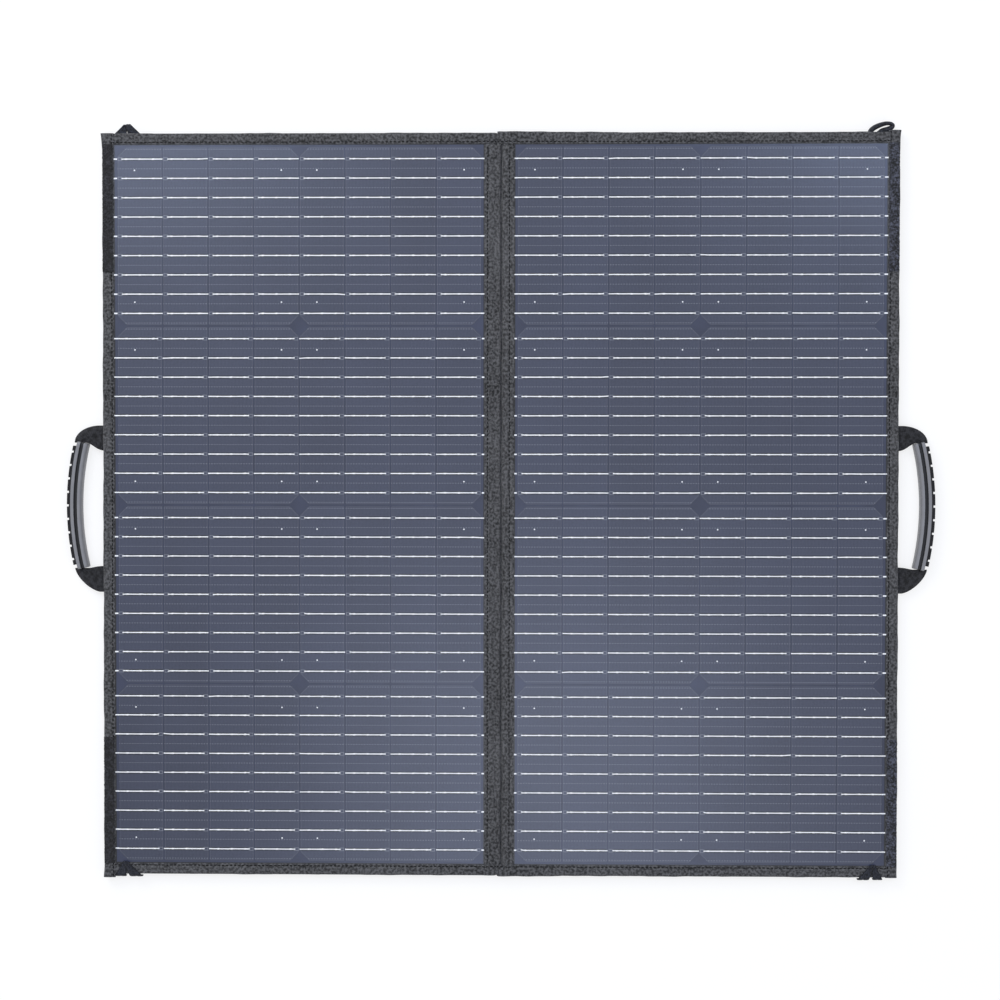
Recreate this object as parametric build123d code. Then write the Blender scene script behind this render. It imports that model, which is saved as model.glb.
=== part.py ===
from build123d import *
import math
import os

# A two-panel folding solar suitcase, laid open and flat with its cells up. X runs across the
# two panels, Y up their height, and Z away from the ground. Lengths are in millimetres.

# Solar cells: square wafers cut into upright strips.
WAFER = 166.0              # edge of a whole wafer
STRIPS_PER_WAFER = 4       # strips that a wafer is cut into
WAFERS_ACROSS = 2          # wafers side by side on a panel
ROWS = 4                   # rows of wafers up a panel
STRIP_GAP = 1.2            # gap between neighbouring strips
ROW_GAP = 1.6              # gap between rows
WAFER_CHAMFER = 8.4        # leg of the cut-off wafer corners
RIBBONS_PER_ROW = 9        # tinned ribbons across each row
RIBBON_PITCH = 18.0        # from ribbon to ribbon
RIBBON_W = 1.0             # width of a ribbon
RIBBON_BREAK = 4.7         # bare stretch at one end of each strip's ribbon
BUSBAR_W = 4.0             # width of the end busbars

# Panel outline.
CELLS_INSET = 17.0         # fold line to the first strip
SIDE_MARGIN = 14.3         # last strip to the panel's outer edge
TOP_MARGIN = 13.6          # cells to the panel's top and bottom edges
BOARD_INSET = 7.0          # fold line to the stiffener board
BINDING_W = 10.5           # width of the edge binding on the face
SPINE_W = 28.0             # width of the fabric spine

# Thicknesses, from the ground up.
FABRIC_T = 0.8             # woven polyester, binding, spine and back covers
BOARD_T = 4.0              # stiffener board
BACKSHEET_T = 0.6          # laminate backsheet
CELL_T = 0.3               # silicon strip with its encapsulant
RIBBON_T = 0.2             # tinned copper ribbon
FILM_T = 0.6               # encapsulant and front film
FASTENER_T = 1.9           # hook tape or loop tape, with its pile
FOLD_ROOM = 0.3            # face of the fastener tape to the fold axis

# Handles.
GRIP_L = 122.8             # grip from end to end
GRIP_REACH = 34.0          # panel edge to the outside of the grip
GRIP_RADIUS = 262.0        # bow of the grip's outside
GRIP_T = 13.0              # grip, front to back
GRIP_FLOOR = 0.5           # clear of the ground
GRIP_CORE_W = 5.9          # smooth inner half
GRIP_GROOVE_W = 3.0        # groove beside it
GRIP_GROOVE_DEPTH = 2.2    # depth of the groove
GRIP_LIP_W = 3.3           # lip between the groove and the ribbed strip
GRIP_RIB_W = 3.1           # ribbed strip, outwards
GRIP_RIB_L = 113.0         # ribbed strip from end to end
RIB_NOTCHES = 9            # notches across the ribbed strip
RIB_PITCH = 12.7           # from notch to notch
RIB_NOTCH_W = 2.0          # width of a notch
RIB_NOTCH_DEPTH = 1.6      # depth of a notch
WEBBING_T = 2.4            # doubled webbing
WEBBING_TAB_W = 24.0       # webbing at the panel's edge
WEBBING_SPAN = 132.8       # from the middle of one tab to the middle of the other
WEBBING_CORE_W = 9.0       # webbing folded inside the grip
EDGE_CLEAR = 0.3           # running gap at the sewn hinges

# Corner loops.
LOOP_INSET = 21.7          # panel's outer edge to the middle of each loop
LOOP_T = 1.6               # doubled ribbon
TOP_LOOP_W = 24.0          # feet of a top loop
TOP_LOOP_H = 10.3          # reach of a top loop
BOTTOM_LOOP_W = 26.0       # feet of a bottom loop
BOTTOM_LOOP_H = 14.0       # reach of a bottom loop
LOOP_APEX_W = 5.4          # width where the ribbon turns over
LOOP_SLIT_W = 3.2          # slit between the feet
LOOP_SLIT_END = 3.6        # ribbon left beyond the slit

# Hook and loop tapes on the outer borders.
FASTENER_L = 119.0
FASTENER_W = 9.6
FASTENER_END = 11.0        # end of a tape to the top or bottom edge

# Junction boxes.
BOX_X = 32.0               # fold line to the box
BOX_TOP = 87.0             # panel's top edge to the box
BOX_L = 60.0
BOX_W = 45.0
BOX_H = 6.6                # backsheet to the outside of the lid
BOX_WALL = 1.6
BOX_FLOOR = 0.7
LID_T = 1.3
LID_FILLET = 0.6           # rounding round the lid's face
BOX_CORNER_R = 3.0
BOSS_R = 2.8               # corner bosses
SCREW_R = 0.9
SCREW_HEAD_R = 1.8
SCREW_HEAD_H = 0.7
SCREW_L = 4.6
TERMINAL_SIZE = (9.0, 16.0, 3.0)
TERMINAL_INSET = 8.0       # wall to a terminal
DIODE_R = 1.3
DIODE_L = 8.0
DIODE_LEG_R = 0.4
LEAD_R = 1.0               # lead between the two boxes
LEAD_TAIL = 4.0            # lead inside a box
LEAD_CLEAR = 0.3           # lead to its grommets
GROMMET_R = 1.6
GROMMET_L = 4.6
CHANNEL_W = 5.0            # channel for the lead in the boards
GLAND_R = 1.9
GLAND_NUT_R = 3.2
GLAND_L = 11.0
GLAND_NUT_L = 6.0
GLAND_BORE_R = 1.4
GLAND_X = 14.0             # box's inner wall to the gland's axis
GLAND_WINDOW = (16.0, 30.0)  # window in the board, wide and long
BOX_CLEAR = 1.0            # board and cover to the box

# Kickstands.
STAND_X = 66.0             # fold line to the flap
STAND_MARGIN = 53.7        # flap to the panel's outer edge
STAND_L = 330.0
STAND_HINGE_Y = 88.0       # panel centre to the hinge line
STAND_T = 3.3
STAND_COVER_T = 0.5
STAND_CORNER_R = 18.0
HINGE_TAPE_W = 26.0
HINGE_SLACK = 0.4          # end of the flap to its hinge line
PATCH_L = 90.0
PATCH_W = 25.0
PATCH_MIN_T = 0.55
PATCH_GAP = 0.1            # between the two patches
PATCH_INSET = 14.0         # free end of the flap to the patch

# Zipped pocket on the left panel.
POCKET_X = 22.0            # fold line to the pocket
POCKET_MARGIN = 33.7       # pocket to the panel's outer edge
POCKET_TOP = 30.0          # pocket to the panel's top edge
POCKET_GAP = 24.0          # kickstand's hinge line to the pocket
POCKET_ROOM = 0.2          # pocket's face to the junction box
POCKET_FABRIC = 0.6
ZIP_INSET = 22.0           # pocket's top edge to the zip
ZIP_END = 18.0             # pocket's sides to the ends of the zip
ZIP_TAPE_W = 24.0
ZIP_TAPE_T = 0.5
TEETH_W = 1.4              # one row of teeth
TEETH_T = 1.0
TEETH_SLIT = 1.2           # gap between the two rows, where the slider's web runs
SLIDER_L = 9.0
SLIDER_W = 6.4
SLIDER_PLATE = 0.5
SLIDER_GAP = 0.3
PULL_L = 20.0
PULL_W = 5.0
PULL_T = 0.5
PULL_EYE_R = 1.2
PULL_CLEAR = 0.05          # above and below the pull

# Levels and edges that follow from them.
STRIP_W = WAFER / STRIPS_PER_WAFER
STRIPS = STRIPS_PER_WAFER * WAFERS_ACROSS
CELLS_W = STRIPS * STRIP_W + (STRIPS - 1) * STRIP_GAP
CELLS_H = ROWS * WAFER + (ROWS - 1) * ROW_GAP
PANEL_X = CELLS_INSET + CELLS_W + SIDE_MARGIN
PANEL_Y = CELLS_H / 2 + TOP_MARGIN
POCKET_RISE = PULL_T + 2 * PULL_CLEAR + SLIDER_PLATE + SLIDER_GAP + ZIP_TAPE_T
BOX_Z = POCKET_RISE + POCKET_FABRIC + POCKET_ROOM
COVER_Z = max(BOX_Z + BOX_H - BOARD_T - FABRIC_T, STAND_T + 2 * PATCH_MIN_T + PATCH_GAP)
PATCH_T = (COVER_Z - STAND_T - PATCH_GAP) / 2
FLANGE_Z = COVER_Z - FABRIC_T
BOARD_Z = COVER_Z + FABRIC_T
SHEET_Z = BOARD_Z + BOARD_T
CELL_Z = SHEET_Z + BACKSHEET_T
RIBBON_Z = CELL_Z + CELL_T
FILM_Z = RIBBON_Z + RIBBON_T
FRONT_Z = FILM_Z + FILM_T
TOP_Z = FRONT_Z + FABRIC_T
FOLD_Z = TOP_Z + FASTENER_T + FOLD_ROOM
LOOP_X = PANEL_X - LOOP_INSET
BOX_Y = PANEL_Y - BOX_TOP - BOX_W
STAND_W = PANEL_X - STAND_MARGIN - STAND_X
POCKET_W = PANEL_X - POCKET_MARGIN - POCKET_X
POCKET_Y = STAND_HINGE_Y + POCKET_GAP
POCKET_L = PANEL_Y - POCKET_TOP - POCKET_Y
HANDLE_Z = GRIP_FLOOR + GRIP_T / 2
HANDLE_AXIS_X = PANEL_X + EDGE_CLEAR + WEBBING_T / 2
TOP_LOOP_Z = (COVER_Z + FRONT_Z) / 2
TOP_LOOP_AXIS_Y = PANEL_Y + EDGE_CLEAR + LOOP_T / 2
BOTTOM_LOOP_Z = TOP_Z + EDGE_CLEAR + LOOP_T / 2
BOTTOM_LOOP_AXIS_Y = -TOP_LOOP_AXIS_Y
STAND_AXIS_Z = (STAND_T + COVER_Z) / 2
# The frame's origin is on the ground, in the middle of the whole kit with its loops.
ORIGIN_Y = (TOP_LOOP_AXIS_Y + TOP_LOOP_H + BOTTOM_LOOP_AXIS_Y - LOOP_T / 2) / 2

os.makedirs("parts", exist_ok=True)


def block(x0, x1, y0, y1, z0, z1):
    """A box between two corners."""
    centre = ((x0 + x1) / 2, (y0 + y1) / 2, (z0 + z1) / 2)
    return Pos(*centre) * Box(x1 - x0, y1 - y0, z1 - z0)


def plate(points, z0, z1):
    """A flat plate with a straight-sided outline, between two levels."""
    face = make_face(Polyline(*points, close=True))
    return extrude(Pos(0, 0, z0) * face, amount=z1 - z0)


def rod(radius, start, end):
    """A round rod between two points."""
    path = Line(start, end)
    return extrude(Plane(origin=start, z_dir=path % 0) * Circle(radius), amount=path.length)


def sector(inner, outer, centre_x, half_length, z0, z1):
    """A bowed bar: the part of a ring about (centre_x, 0) that is half_length either side."""
    turn = half_length / outer
    far = [(centre_x + outer * math.cos(a), outer * math.sin(a)) for a in (-turn, 0, turn)]
    near = [(centre_x + inner * math.cos(a), inner * math.sin(a)) for a in (turn, 0, -turn)]
    outline = ThreePointArc(*far) + Line(far[2], near[0])
    outline += ThreePointArc(*near) + Line(near[2], far[0])
    return extrude(Pos(0, 0, z0) * make_face(outline), amount=z1 - z0)


def mirrored(shape):
    """The same piece on the left panel."""
    return mirror(shape, about=Plane.YZ)


def save(name, *shapes):
    """Writes a node, which may be a group of separate solids."""
    solids = [s for shape in shapes for s in shape.solids()]
    group = Compound(children=[Pos(0, -ORIGIN_Y, 0) * s for s in solids])
    export_step(group, f"parts/{name}.step")


def save_pair(name, *shapes):
    """Writes a node for the right panel and its mirror image for the left."""
    save("right_" + name, *shapes)
    save("left_" + name, *[mirrored(s) for s in shapes])


def strip_x(n):
    """The inner edge of strip n, counted from the fold line."""
    return CELLS_INSET + n * (STRIP_W + STRIP_GAP)


def row_y(n):
    """The upper edge of row n, counted from the top."""
    return CELLS_H / 2 - n * (WAFER + ROW_GAP)


# Solar laminate: backsheet, cell strips, ribbons, end busbars and film.

def solar_strip(column, row):
    """One strip. The first and last strips of a wafer have its two cut corners."""
    x0 = strip_x(column)
    x1 = x0 + STRIP_W
    y1 = row_y(row)
    y0 = y1 - WAFER
    place = column % STRIPS_PER_WAFER
    inner = WAFER_CHAMFER if place == 0 else 0
    outer = WAFER_CHAMFER if place == STRIPS_PER_WAFER - 1 else 0
    points = [(x0 + inner, y0), (x1 - outer, y0), (x1, y0 + outer), (x1, y1 - outer)]
    points += [(x1 - outer, y1), (x0 + inner, y1), (x0, y1 - inner), (x0, y0 + inner)]
    kept = [p for n, p in enumerate(points) if p != points[n - 1]]
    return plate(kept, CELL_Z, RIBBON_Z)


def ribbon_set():
    """The ribbons of a panel. Each stops short of one side of its strip, and the side
    changes from row to row, because the string runs the other way."""
    first = (WAFER - (RIBBONS_PER_ROW - 1) * RIBBON_PITCH) / 2
    for row in range(ROWS):
        inner, outer = (0, RIBBON_BREAK) if row % 2 == 0 else (RIBBON_BREAK, 0)
        for column in range(STRIPS):
            x0 = strip_x(column) + inner
            x1 = strip_x(column) + STRIP_W - outer
            for n in range(RIBBONS_PER_ROW):
                y = row_y(row) - first - n * RIBBON_PITCH
                yield block(x0, x1, y - RIBBON_W / 2, y + RIBBON_W / 2, RIBBON_Z, FILM_Z)


def busbars():
    """Upright busbars hidden under the spine and the binding, each joining two rows."""
    inner_x = BOARD_INSET + FABRIC_T
    outer_x = CELLS_INSET + CELLS_W + SIDE_MARGIN - BINDING_W + FABRIC_T
    for x0, rows in ((inner_x, (0, 2)), (outer_x, (1,))):
        for row in rows:
            y1 = row_y(row) - WAFER_CHAMFER
            y0 = row_y(row + 1) - WAFER + WAFER_CHAMFER
            yield block(x0, x0 + BUSBAR_W, y0, y1, CELL_Z, RIBBON_Z)


cover_edge_x = PANEL_X - FABRIC_T
cover_edge_y = PANEL_Y - FABRIC_T
box_y1 = BOX_Y + BOX_W
lead_y = BOX_Y + BOX_W / 2
lead_z = min(BOARD_Z + GROMMET_R, SHEET_Z - BOX_FLOOR - GROMMET_R)
gland_x = BOX_X + GLAND_X


def panel_sheet(z0, z1):
    """A full sheet of the panel's stack, inside the binding."""
    return block(BOARD_INSET, cover_edge_x, -cover_edge_y, cover_edge_y, z0, z1)


def box_hole(z0, z1):
    """The hole that the junction box stands in."""
    return block(BOX_X - BOX_CLEAR, BOX_X + BOX_L + BOX_CLEAR, BOX_Y - BOX_CLEAR,
                 box_y1 + BOX_CLEAR, z0, z1)


def gland_hole(z0, z1):
    """The window beside the box, where a lead turns out of the gland."""
    wide, long = GLAND_WINDOW
    return block(gland_x - wide / 2, gland_x + wide / 2, BOX_Y - long, BOX_Y, z0, z1)


lead_channel = block(0, BOX_X, lead_y - CHANNEL_W / 2, lead_y + CHANNEL_W / 2, BOARD_Z, SHEET_Z)
board = panel_sheet(BOARD_Z, SHEET_Z) - box_hole(BOARD_Z, SHEET_Z) - lead_channel
back_cover = panel_sheet(COVER_Z, BOARD_Z) - box_hole(COVER_Z, BOARD_Z)
save("right_stiffener_board", board)
save("left_stiffener_board", mirrored(board - gland_hole(BOARD_Z, SHEET_Z)))
save("right_back_cover", back_cover)
save("left_back_cover", mirrored(back_cover - gland_hole(COVER_Z, BOARD_Z)))
save_pair("backsheet", panel_sheet(SHEET_Z, CELL_Z))
save_pair("solar_cells", *[solar_strip(c, r) for r in range(ROWS) for c in range(STRIPS)])
save_pair("ribbons", *ribbon_set())
save_pair("end_busbars", *busbars())
save_pair("front_film", panel_sheet(FILM_Z, FRONT_Z))


# Binding round three edges, and the fabric spine.

def edge_binding():
    """A channel of folded fabric round the outer, top and bottom edges."""
    spine_edge = SPINE_W / 2
    body = block(spine_edge, PANEL_X, -PANEL_Y, PANEL_Y, FLANGE_Z, TOP_Z)
    body -= block(0, cover_edge_x, -cover_edge_y, cover_edge_y, COVER_Z, FRONT_Z)
    reach_y = PANEL_Y - BINDING_W
    return body - block(0, PANEL_X - BINDING_W, -reach_y, reach_y, 0, FOLD_Z)


save_pair("edge_binding", edge_binding())
for level, label in ((FRONT_Z, "front"), (FLANGE_Z, "back")):
    half = SPINE_W / 2
    save(f"spine_{label}_cover", block(-half, half, -PANEL_Y, PANEL_Y, level, level + FABRIC_T))


# Hook tape on the left border and loop tape on the right, which meet when it is folded.

def fastener_tapes():
    """The two tapes of one panel."""
    x1 = PANEL_X - (BINDING_W - FASTENER_W) / 2
    for way in (-1, 1):
        ends = sorted(way * (PANEL_Y - FASTENER_END - n) for n in (0, FASTENER_L))
        yield block(x1 - FASTENER_W, x1, *ends, TOP_Z, TOP_Z + FASTENER_T)


save("right_loop_tapes", *fastener_tapes())
save("left_hook_tapes", *[mirrored(t) for t in fastener_tapes()])


# Corner loops of doubled ribbon, each sewn into an edge.

def corner_loop(width, height):
    """A loop lying along +Y from its sewn foot, which is rounded about the X axis."""
    half = width / 2
    tip = LOOP_APEX_W / 2
    outline = [(-half, 0), (half, 0), (tip, height), (-tip, height)]
    body = plate(outline, -LOOP_T / 2, LOOP_T / 2)
    slit_end = height - LOOP_SLIT_END
    slit = [(-LOOP_SLIT_W / 2, LOOP_T), (LOOP_SLIT_W / 2, LOOP_T), (0, slit_end)]
    body -= plate(slit, -LOOP_T, LOOP_T)
    return body + rod(LOOP_T / 2, (-half, 0, 0), (half, 0, 0))


top_loop = Pos(LOOP_X, TOP_LOOP_AXIS_Y, TOP_LOOP_Z) * corner_loop(TOP_LOOP_W, TOP_LOOP_H)
bottom_loop = corner_loop(BOTTOM_LOOP_W, BOTTOM_LOOP_H)
save_pair("top_loop", top_loop)
save_pair("bottom_loop", Pos(LOOP_X, BOTTOM_LOOP_AXIS_Y, BOTTOM_LOOP_Z) * bottom_loop)


# Carrying handle: webbing through a moulded grip with a ribbed strip outside.

bow_centre_x = PANEL_X + GRIP_REACH - GRIP_RADIUS
lip_r = GRIP_RADIUS - GRIP_RIB_W
groove_r = lip_r - GRIP_LIP_W
core_r = groove_r - GRIP_GROOVE_W
inner_r = core_r - GRIP_CORE_W
grip_z0 = GRIP_FLOOR
grip_z1 = GRIP_FLOOR + GRIP_T
webbing_z = (HANDLE_Z - WEBBING_T / 2, HANDLE_Z + WEBBING_T / 2)
webbing_r = (inner_r + lip_r) / 2
webbing_end = WEBBING_SPAN / 2 - WEBBING_TAB_W / 2


def bow_x(radius, y):
    """How far out a ring of the grip is at height y."""
    return bow_centre_x + math.sqrt(radius**2 - y**2)


def webbing_tab(way):
    """One end of the webbing: wide at the edge, folded narrow where it enters the grip."""
    low = webbing_end
    high = low + WEBBING_TAB_W
    turn = GRIP_L / 2 - (GRIP_L - GRIP_RIB_L) / 2
    inner = bow_x(webbing_r - WEBBING_CORE_W / 2, turn)
    outer = bow_x(webbing_r + WEBBING_CORE_W / 2, turn)
    root = HANDLE_AXIS_X
    straight = root + (inner - root) / 2
    swell = (outer - straight) * (1 - math.sqrt(0.5))
    drop = (high - turn) * (1 - math.sqrt(0.5))
    outline = Polyline((inner, turn), (straight, low), (root, low), (root, high), (straight, high))
    outline += ThreePointArc((straight, high), (outer - swell, high - drop), (outer, turn))
    outline += Line((outer, turn), (inner, turn))
    tab = extrude(Pos(0, 0, webbing_z[0]) * make_face(outline), amount=WEBBING_T)
    tab += rod(WEBBING_T / 2, (root, low, HANDLE_Z), (root, high, HANDLE_Z))
    return tab if way > 0 else mirror(tab, about=Plane.XZ)


def handle_pieces():
    """The webbing, the moulded grip and its ribbed strip."""
    half = GRIP_L / 2
    core_half = WEBBING_CORE_W / 2
    webbing = sector(webbing_r - core_half, webbing_r + core_half, bow_centre_x, half, *webbing_z)
    webbing = webbing_tab(1) + webbing + webbing_tab(-1)
    grip = sector(inner_r, lip_r, bow_centre_x, half, grip_z0, grip_z1)
    inner_edges = grip.edges().filter_by(GeomType.CIRCLE).sort_by(SortBy.RADIUS)[:2]
    grip = fillet(inner_edges, GRIP_CORE_W * 0.7)
    groove = sector(core_r, groove_r, bow_centre_x, half + GRIP_T, grip_z0, grip_z1)
    keep = (grip_z0 + GRIP_GROOVE_DEPTH, grip_z1 - GRIP_GROOVE_DEPTH)
    groove -= sector(core_r, groove_r, bow_centre_x, half + GRIP_T, *keep)
    grip = grip - groove - webbing
    ribs = sector(lip_r, GRIP_RADIUS, bow_centre_x, GRIP_RIB_L / 2, grip_z0, grip_z1)
    for n in range(RIB_NOTCHES):
        y = (n - (RIB_NOTCHES - 1) / 2) * RIB_PITCH
        x = bow_x(GRIP_RADIUS, y)
        half_notch = RIB_NOTCH_W / 2
        ribs -= block(x - RIB_NOTCH_DEPTH, x + GRIP_T, y - half_notch, y + half_notch, 0, TOP_Z + GRIP_T)
    return webbing, grip, ribs


handle_webbing, handle_grip, handle_ribs = handle_pieces()
save_pair("handle_webbing", handle_webbing)
save_pair("handle_grip", handle_grip)
save_pair("handle_ribbed_strip", handle_ribs)


# Junction boxes behind the laminate, the lead between them and the outlet gland.

box_top = SHEET_Z
box_bottom = SHEET_Z - BOX_H
rim_z = box_bottom + LID_T
inside = (BOX_X + BOX_WALL, BOX_X + BOX_L - BOX_WALL, BOX_Y + BOX_WALL, box_y1 - BOX_WALL)
boss_places = [
    (x, y)
    for x in (inside[0] + SCREW_HEAD_R, inside[1] - SCREW_HEAD_R)
    for y in (inside[2] + SCREW_HEAD_R, inside[3] - SCREW_HEAD_R)
]


def box_screw(x, y):
    """A flat-headed screw from the lid into its boss."""
    head = rod(SCREW_HEAD_R, (x, y, box_bottom), (x, y, box_bottom + SCREW_HEAD_H))
    neck = box_bottom + SCREW_HEAD_H
    return head + rod(SCREW_R, (x, y, neck), (x, y, neck + SCREW_L))


def box_outline(z0, z1):
    """The box's outside between two levels, with rounded corners."""
    body = block(BOX_X, BOX_X + BOX_L, BOX_Y, box_y1, z0, z1)
    return fillet(body.edges().filter_by(Axis.Z), BOX_CORNER_R)


def box_base():
    """A shallow tray bonded to the backsheet, open towards its lid."""
    tray = box_outline(rim_z, box_top)
    tray -= block(*inside, rim_z, box_top - BOX_FLOOR)
    for x, y in boss_places:
        boss = rod(BOSS_R, (x, y, rim_z), (x, y, box_top - BOX_FLOOR))
        tray += boss & box_outline(rim_z, box_top)
    tray -= rod(GROMMET_R, (BOX_X - BOX_WALL, lead_y, lead_z), (inside[0], lead_y, lead_z))
    return tray


def grommet():
    """A rubber ring in the box wall round the lead."""
    x0 = BOX_X + BOX_WALL / 2 - GROMMET_L / 2
    ring = rod(GROMMET_R, (x0, lead_y, lead_z), (x0 + GROMMET_L, lead_y, lead_z))
    return ring - rod(LEAD_R + LEAD_CLEAR, (x0, lead_y, lead_z), (x0 + GROMMET_L, lead_y, lead_z))


def terminals():
    """Two terminal blocks on the box floor, one at each end."""
    wide, long, high = TERMINAL_SIZE
    z1 = box_top - BOX_FLOOR
    y0 = lead_y - long / 2
    for x0 in (inside[0] + TERMINAL_INSET, inside[1] - TERMINAL_INSET - wide):
        yield block(x0, x0 + wide, y0, y0 + long, z1 - high, z1)


def diode():
    """A bypass diode on its two legs between the terminals."""
    x0 = inside[0] + TERMINAL_INSET + TERMINAL_SIZE[0]
    x1 = inside[1] - TERMINAL_INSET - TERMINAL_SIZE[0]
    z = box_top - BOX_FLOOR - TERMINAL_SIZE[2] / 2
    middle = (x0 + x1) / 2
    legs = rod(DIODE_LEG_R, (x0, lead_y, z), (x1, lead_y, z))
    return legs + rod(DIODE_R, (middle - DIODE_L / 2, lead_y, z), (middle + DIODE_L / 2, lead_y, z))


screws = [box_screw(x, y) for x, y in boss_places]
base = box_base()
lid = box_outline(box_bottom, rim_z)
lid = fillet(lid.faces().sort_by(Axis.Z)[0].edges(), LID_FILLET)
for screw in screws:
    base -= screw
    lid -= screw
gland_z = box_top - GLAND_NUT_R
gland_start = (gland_x, inside[2] + BOX_WALL, gland_z)
gland_end = (gland_x, BOX_Y - GLAND_L + BOX_WALL, gland_z)
gland_body = rod(GLAND_R, gland_start, gland_end)
gland_nut = rod(GLAND_NUT_R, (gland_x, BOX_Y, gland_z), (gland_x, BOX_Y - GLAND_NUT_L, gland_z))
gland = gland_body + gland_nut - rod(GLAND_BORE_R, gland_start, gland_end)
save("right_junction_box_base", base)
save("left_junction_box_base", mirrored(base - gland_body))
save("outlet_gland", mirrored(gland))
save_pair("junction_box_lid", lid)
save_pair("junction_box_screws", *screws)
save_pair("terminal_blocks", *terminals())
save_pair("bypass_diode", diode())
save_pair("lead_grommet", grommet())
lead_end = inside[0] + LEAD_TAIL
save("inter_panel_lead", rod(LEAD_R, (-lead_end, lead_y, lead_z), (lead_end, lead_y, lead_z)))


# Kickstands: a fabric-covered board on a sewn hinge, held shut by a patch.

def stand_outline(inset):
    """The flap's outline, square at the hinge and rounded at the free end."""
    x0 = STAND_X + inset
    x1 = STAND_X + STAND_W - inset
    y1 = STAND_HINGE_Y - HINGE_SLACK - inset
    y0 = STAND_HINGE_Y - HINGE_SLACK - STAND_L + inset
    return Pos((x0 + x1) / 2, (y0 + y1) / 2) * Rectangle(x1 - x0, y1 - y0)


def stand_slab(inset, z0, z1):
    """The flap's shape between two levels, smaller all round by inset."""
    slab = extrude(Pos(0, 0, z0) * stand_outline(inset), amount=z1 - z0)
    corners = slab.edges().filter_by(Axis.Z).sort_by(Axis.Y)[:2]
    return fillet(corners, STAND_CORNER_R - inset)


patch_x = STAND_X + STAND_W / 2 - PATCH_L / 2
patch_y = STAND_HINGE_Y - HINGE_SLACK - STAND_L + PATCH_INSET
stand_board = stand_slab(STAND_COVER_T, STAND_COVER_T, STAND_T - STAND_COVER_T)
save_pair("kickstand_board", stand_board)
save_pair("kickstand_cover", stand_slab(0, 0, STAND_T) - stand_board)
save_pair("kickstand_hinge_tape", block(
    STAND_X, STAND_X + STAND_W, STAND_HINGE_Y - HINGE_TAPE_W / 2, STAND_HINGE_Y + HINGE_TAPE_W / 2,
    STAND_T, COVER_Z))
patch = (patch_x, patch_x + PATCH_L, patch_y, patch_y + PATCH_W)
save_pair("kickstand_hook_patch", block(*patch, STAND_T, STAND_T + PATCH_T))
save_pair("kickstand_loop_patch", block(*patch, COVER_Z - PATCH_T, COVER_Z))


# Zipped pocket over the left junction box, drawn on the right and mirrored.

pocket_x1 = POCKET_X + POCKET_W
pocket_y1 = POCKET_Y + POCKET_L
zip_y = pocket_y1 - ZIP_INSET
zip_x = (POCKET_X + ZIP_END, pocket_x1 - ZIP_END)
face_z = POCKET_RISE + POCKET_FABRIC
teeth_half = TEETH_SLIT / 2 + TEETH_W
tape_z = (POCKET_RISE - ZIP_TAPE_T, POCKET_RISE)
teeth_z = (tape_z[0], tape_z[0] + TEETH_T)


def pocket_panel():
    """A shallow fabric tray sewn to the back cover, slit along its zip."""
    wall = POCKET_FABRIC
    tray = block(POCKET_X, pocket_x1, POCKET_Y, pocket_y1, POCKET_RISE, COVER_Z)
    tray -= block(POCKET_X + wall, pocket_x1 - wall, POCKET_Y + wall, pocket_y1 - wall, face_z, COVER_Z)
    return tray - block(*zip_x, zip_y - teeth_half, zip_y + teeth_half, 0, face_z)


def zip_sides(low, high, levels):
    """Two straight strips, one each side of the zip's middle line."""
    for way in (-1, 1):
        ends = sorted((zip_y + way * low, zip_y + way * high))
        yield block(*zip_x, *ends, *levels)


slider_x = (zip_x[1] - SLIDER_GAP - SLIDER_L, zip_x[1] - SLIDER_GAP)
plate_low = (teeth_z[0] - SLIDER_GAP - SLIDER_PLATE, teeth_z[0] - SLIDER_GAP)
plate_high = (face_z + SLIDER_GAP, face_z + SLIDER_GAP + SLIDER_PLATE)
web_half = TEETH_SLIT / 2 - SLIDER_GAP
slider_half = SLIDER_W / 2
slider = block(*slider_x, zip_y - slider_half, zip_y + slider_half, *plate_low)
slider += block(*slider_x, zip_y - slider_half, zip_y + slider_half, *plate_high)
slider += block(*slider_x, zip_y - web_half, zip_y + web_half, plate_low[0], plate_high[1])
pull_axis = (slider_x[0], PULL_CLEAR + PULL_T / 2)
pull_half = PULL_W / 2
pull = block(pull_axis[0] - PULL_L, pull_axis[0], zip_y - pull_half, zip_y + pull_half,
             PULL_CLEAR, PULL_CLEAR + PULL_T)
pull += rod(PULL_T / 2, (pull_axis[0], zip_y - pull_half, pull_axis[1]),
            (pull_axis[0], zip_y + pull_half, pull_axis[1]))
eye_x = pull_axis[0] - PULL_L + pull_half
pull -= rod(PULL_EYE_R, (eye_x, zip_y, 0), (eye_x, zip_y, FOLD_Z))
save("pocket_panel", mirrored(pocket_panel()))
save("pocket_zip_tape", *[mirrored(s) for s in zip_sides(teeth_half, ZIP_TAPE_W / 2, tape_z)])
save("pocket_zip_teeth", *[mirrored(s) for s in zip_sides(TEETH_SLIT / 2, teeth_half, teeth_z)])
save("pocket_zip_slider", mirrored(slider))
save("pocket_zip_pull", mirrored(pull))
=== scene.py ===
"""A folding solar suitcase, open flat with its cells up: the looks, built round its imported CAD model."""

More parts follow.
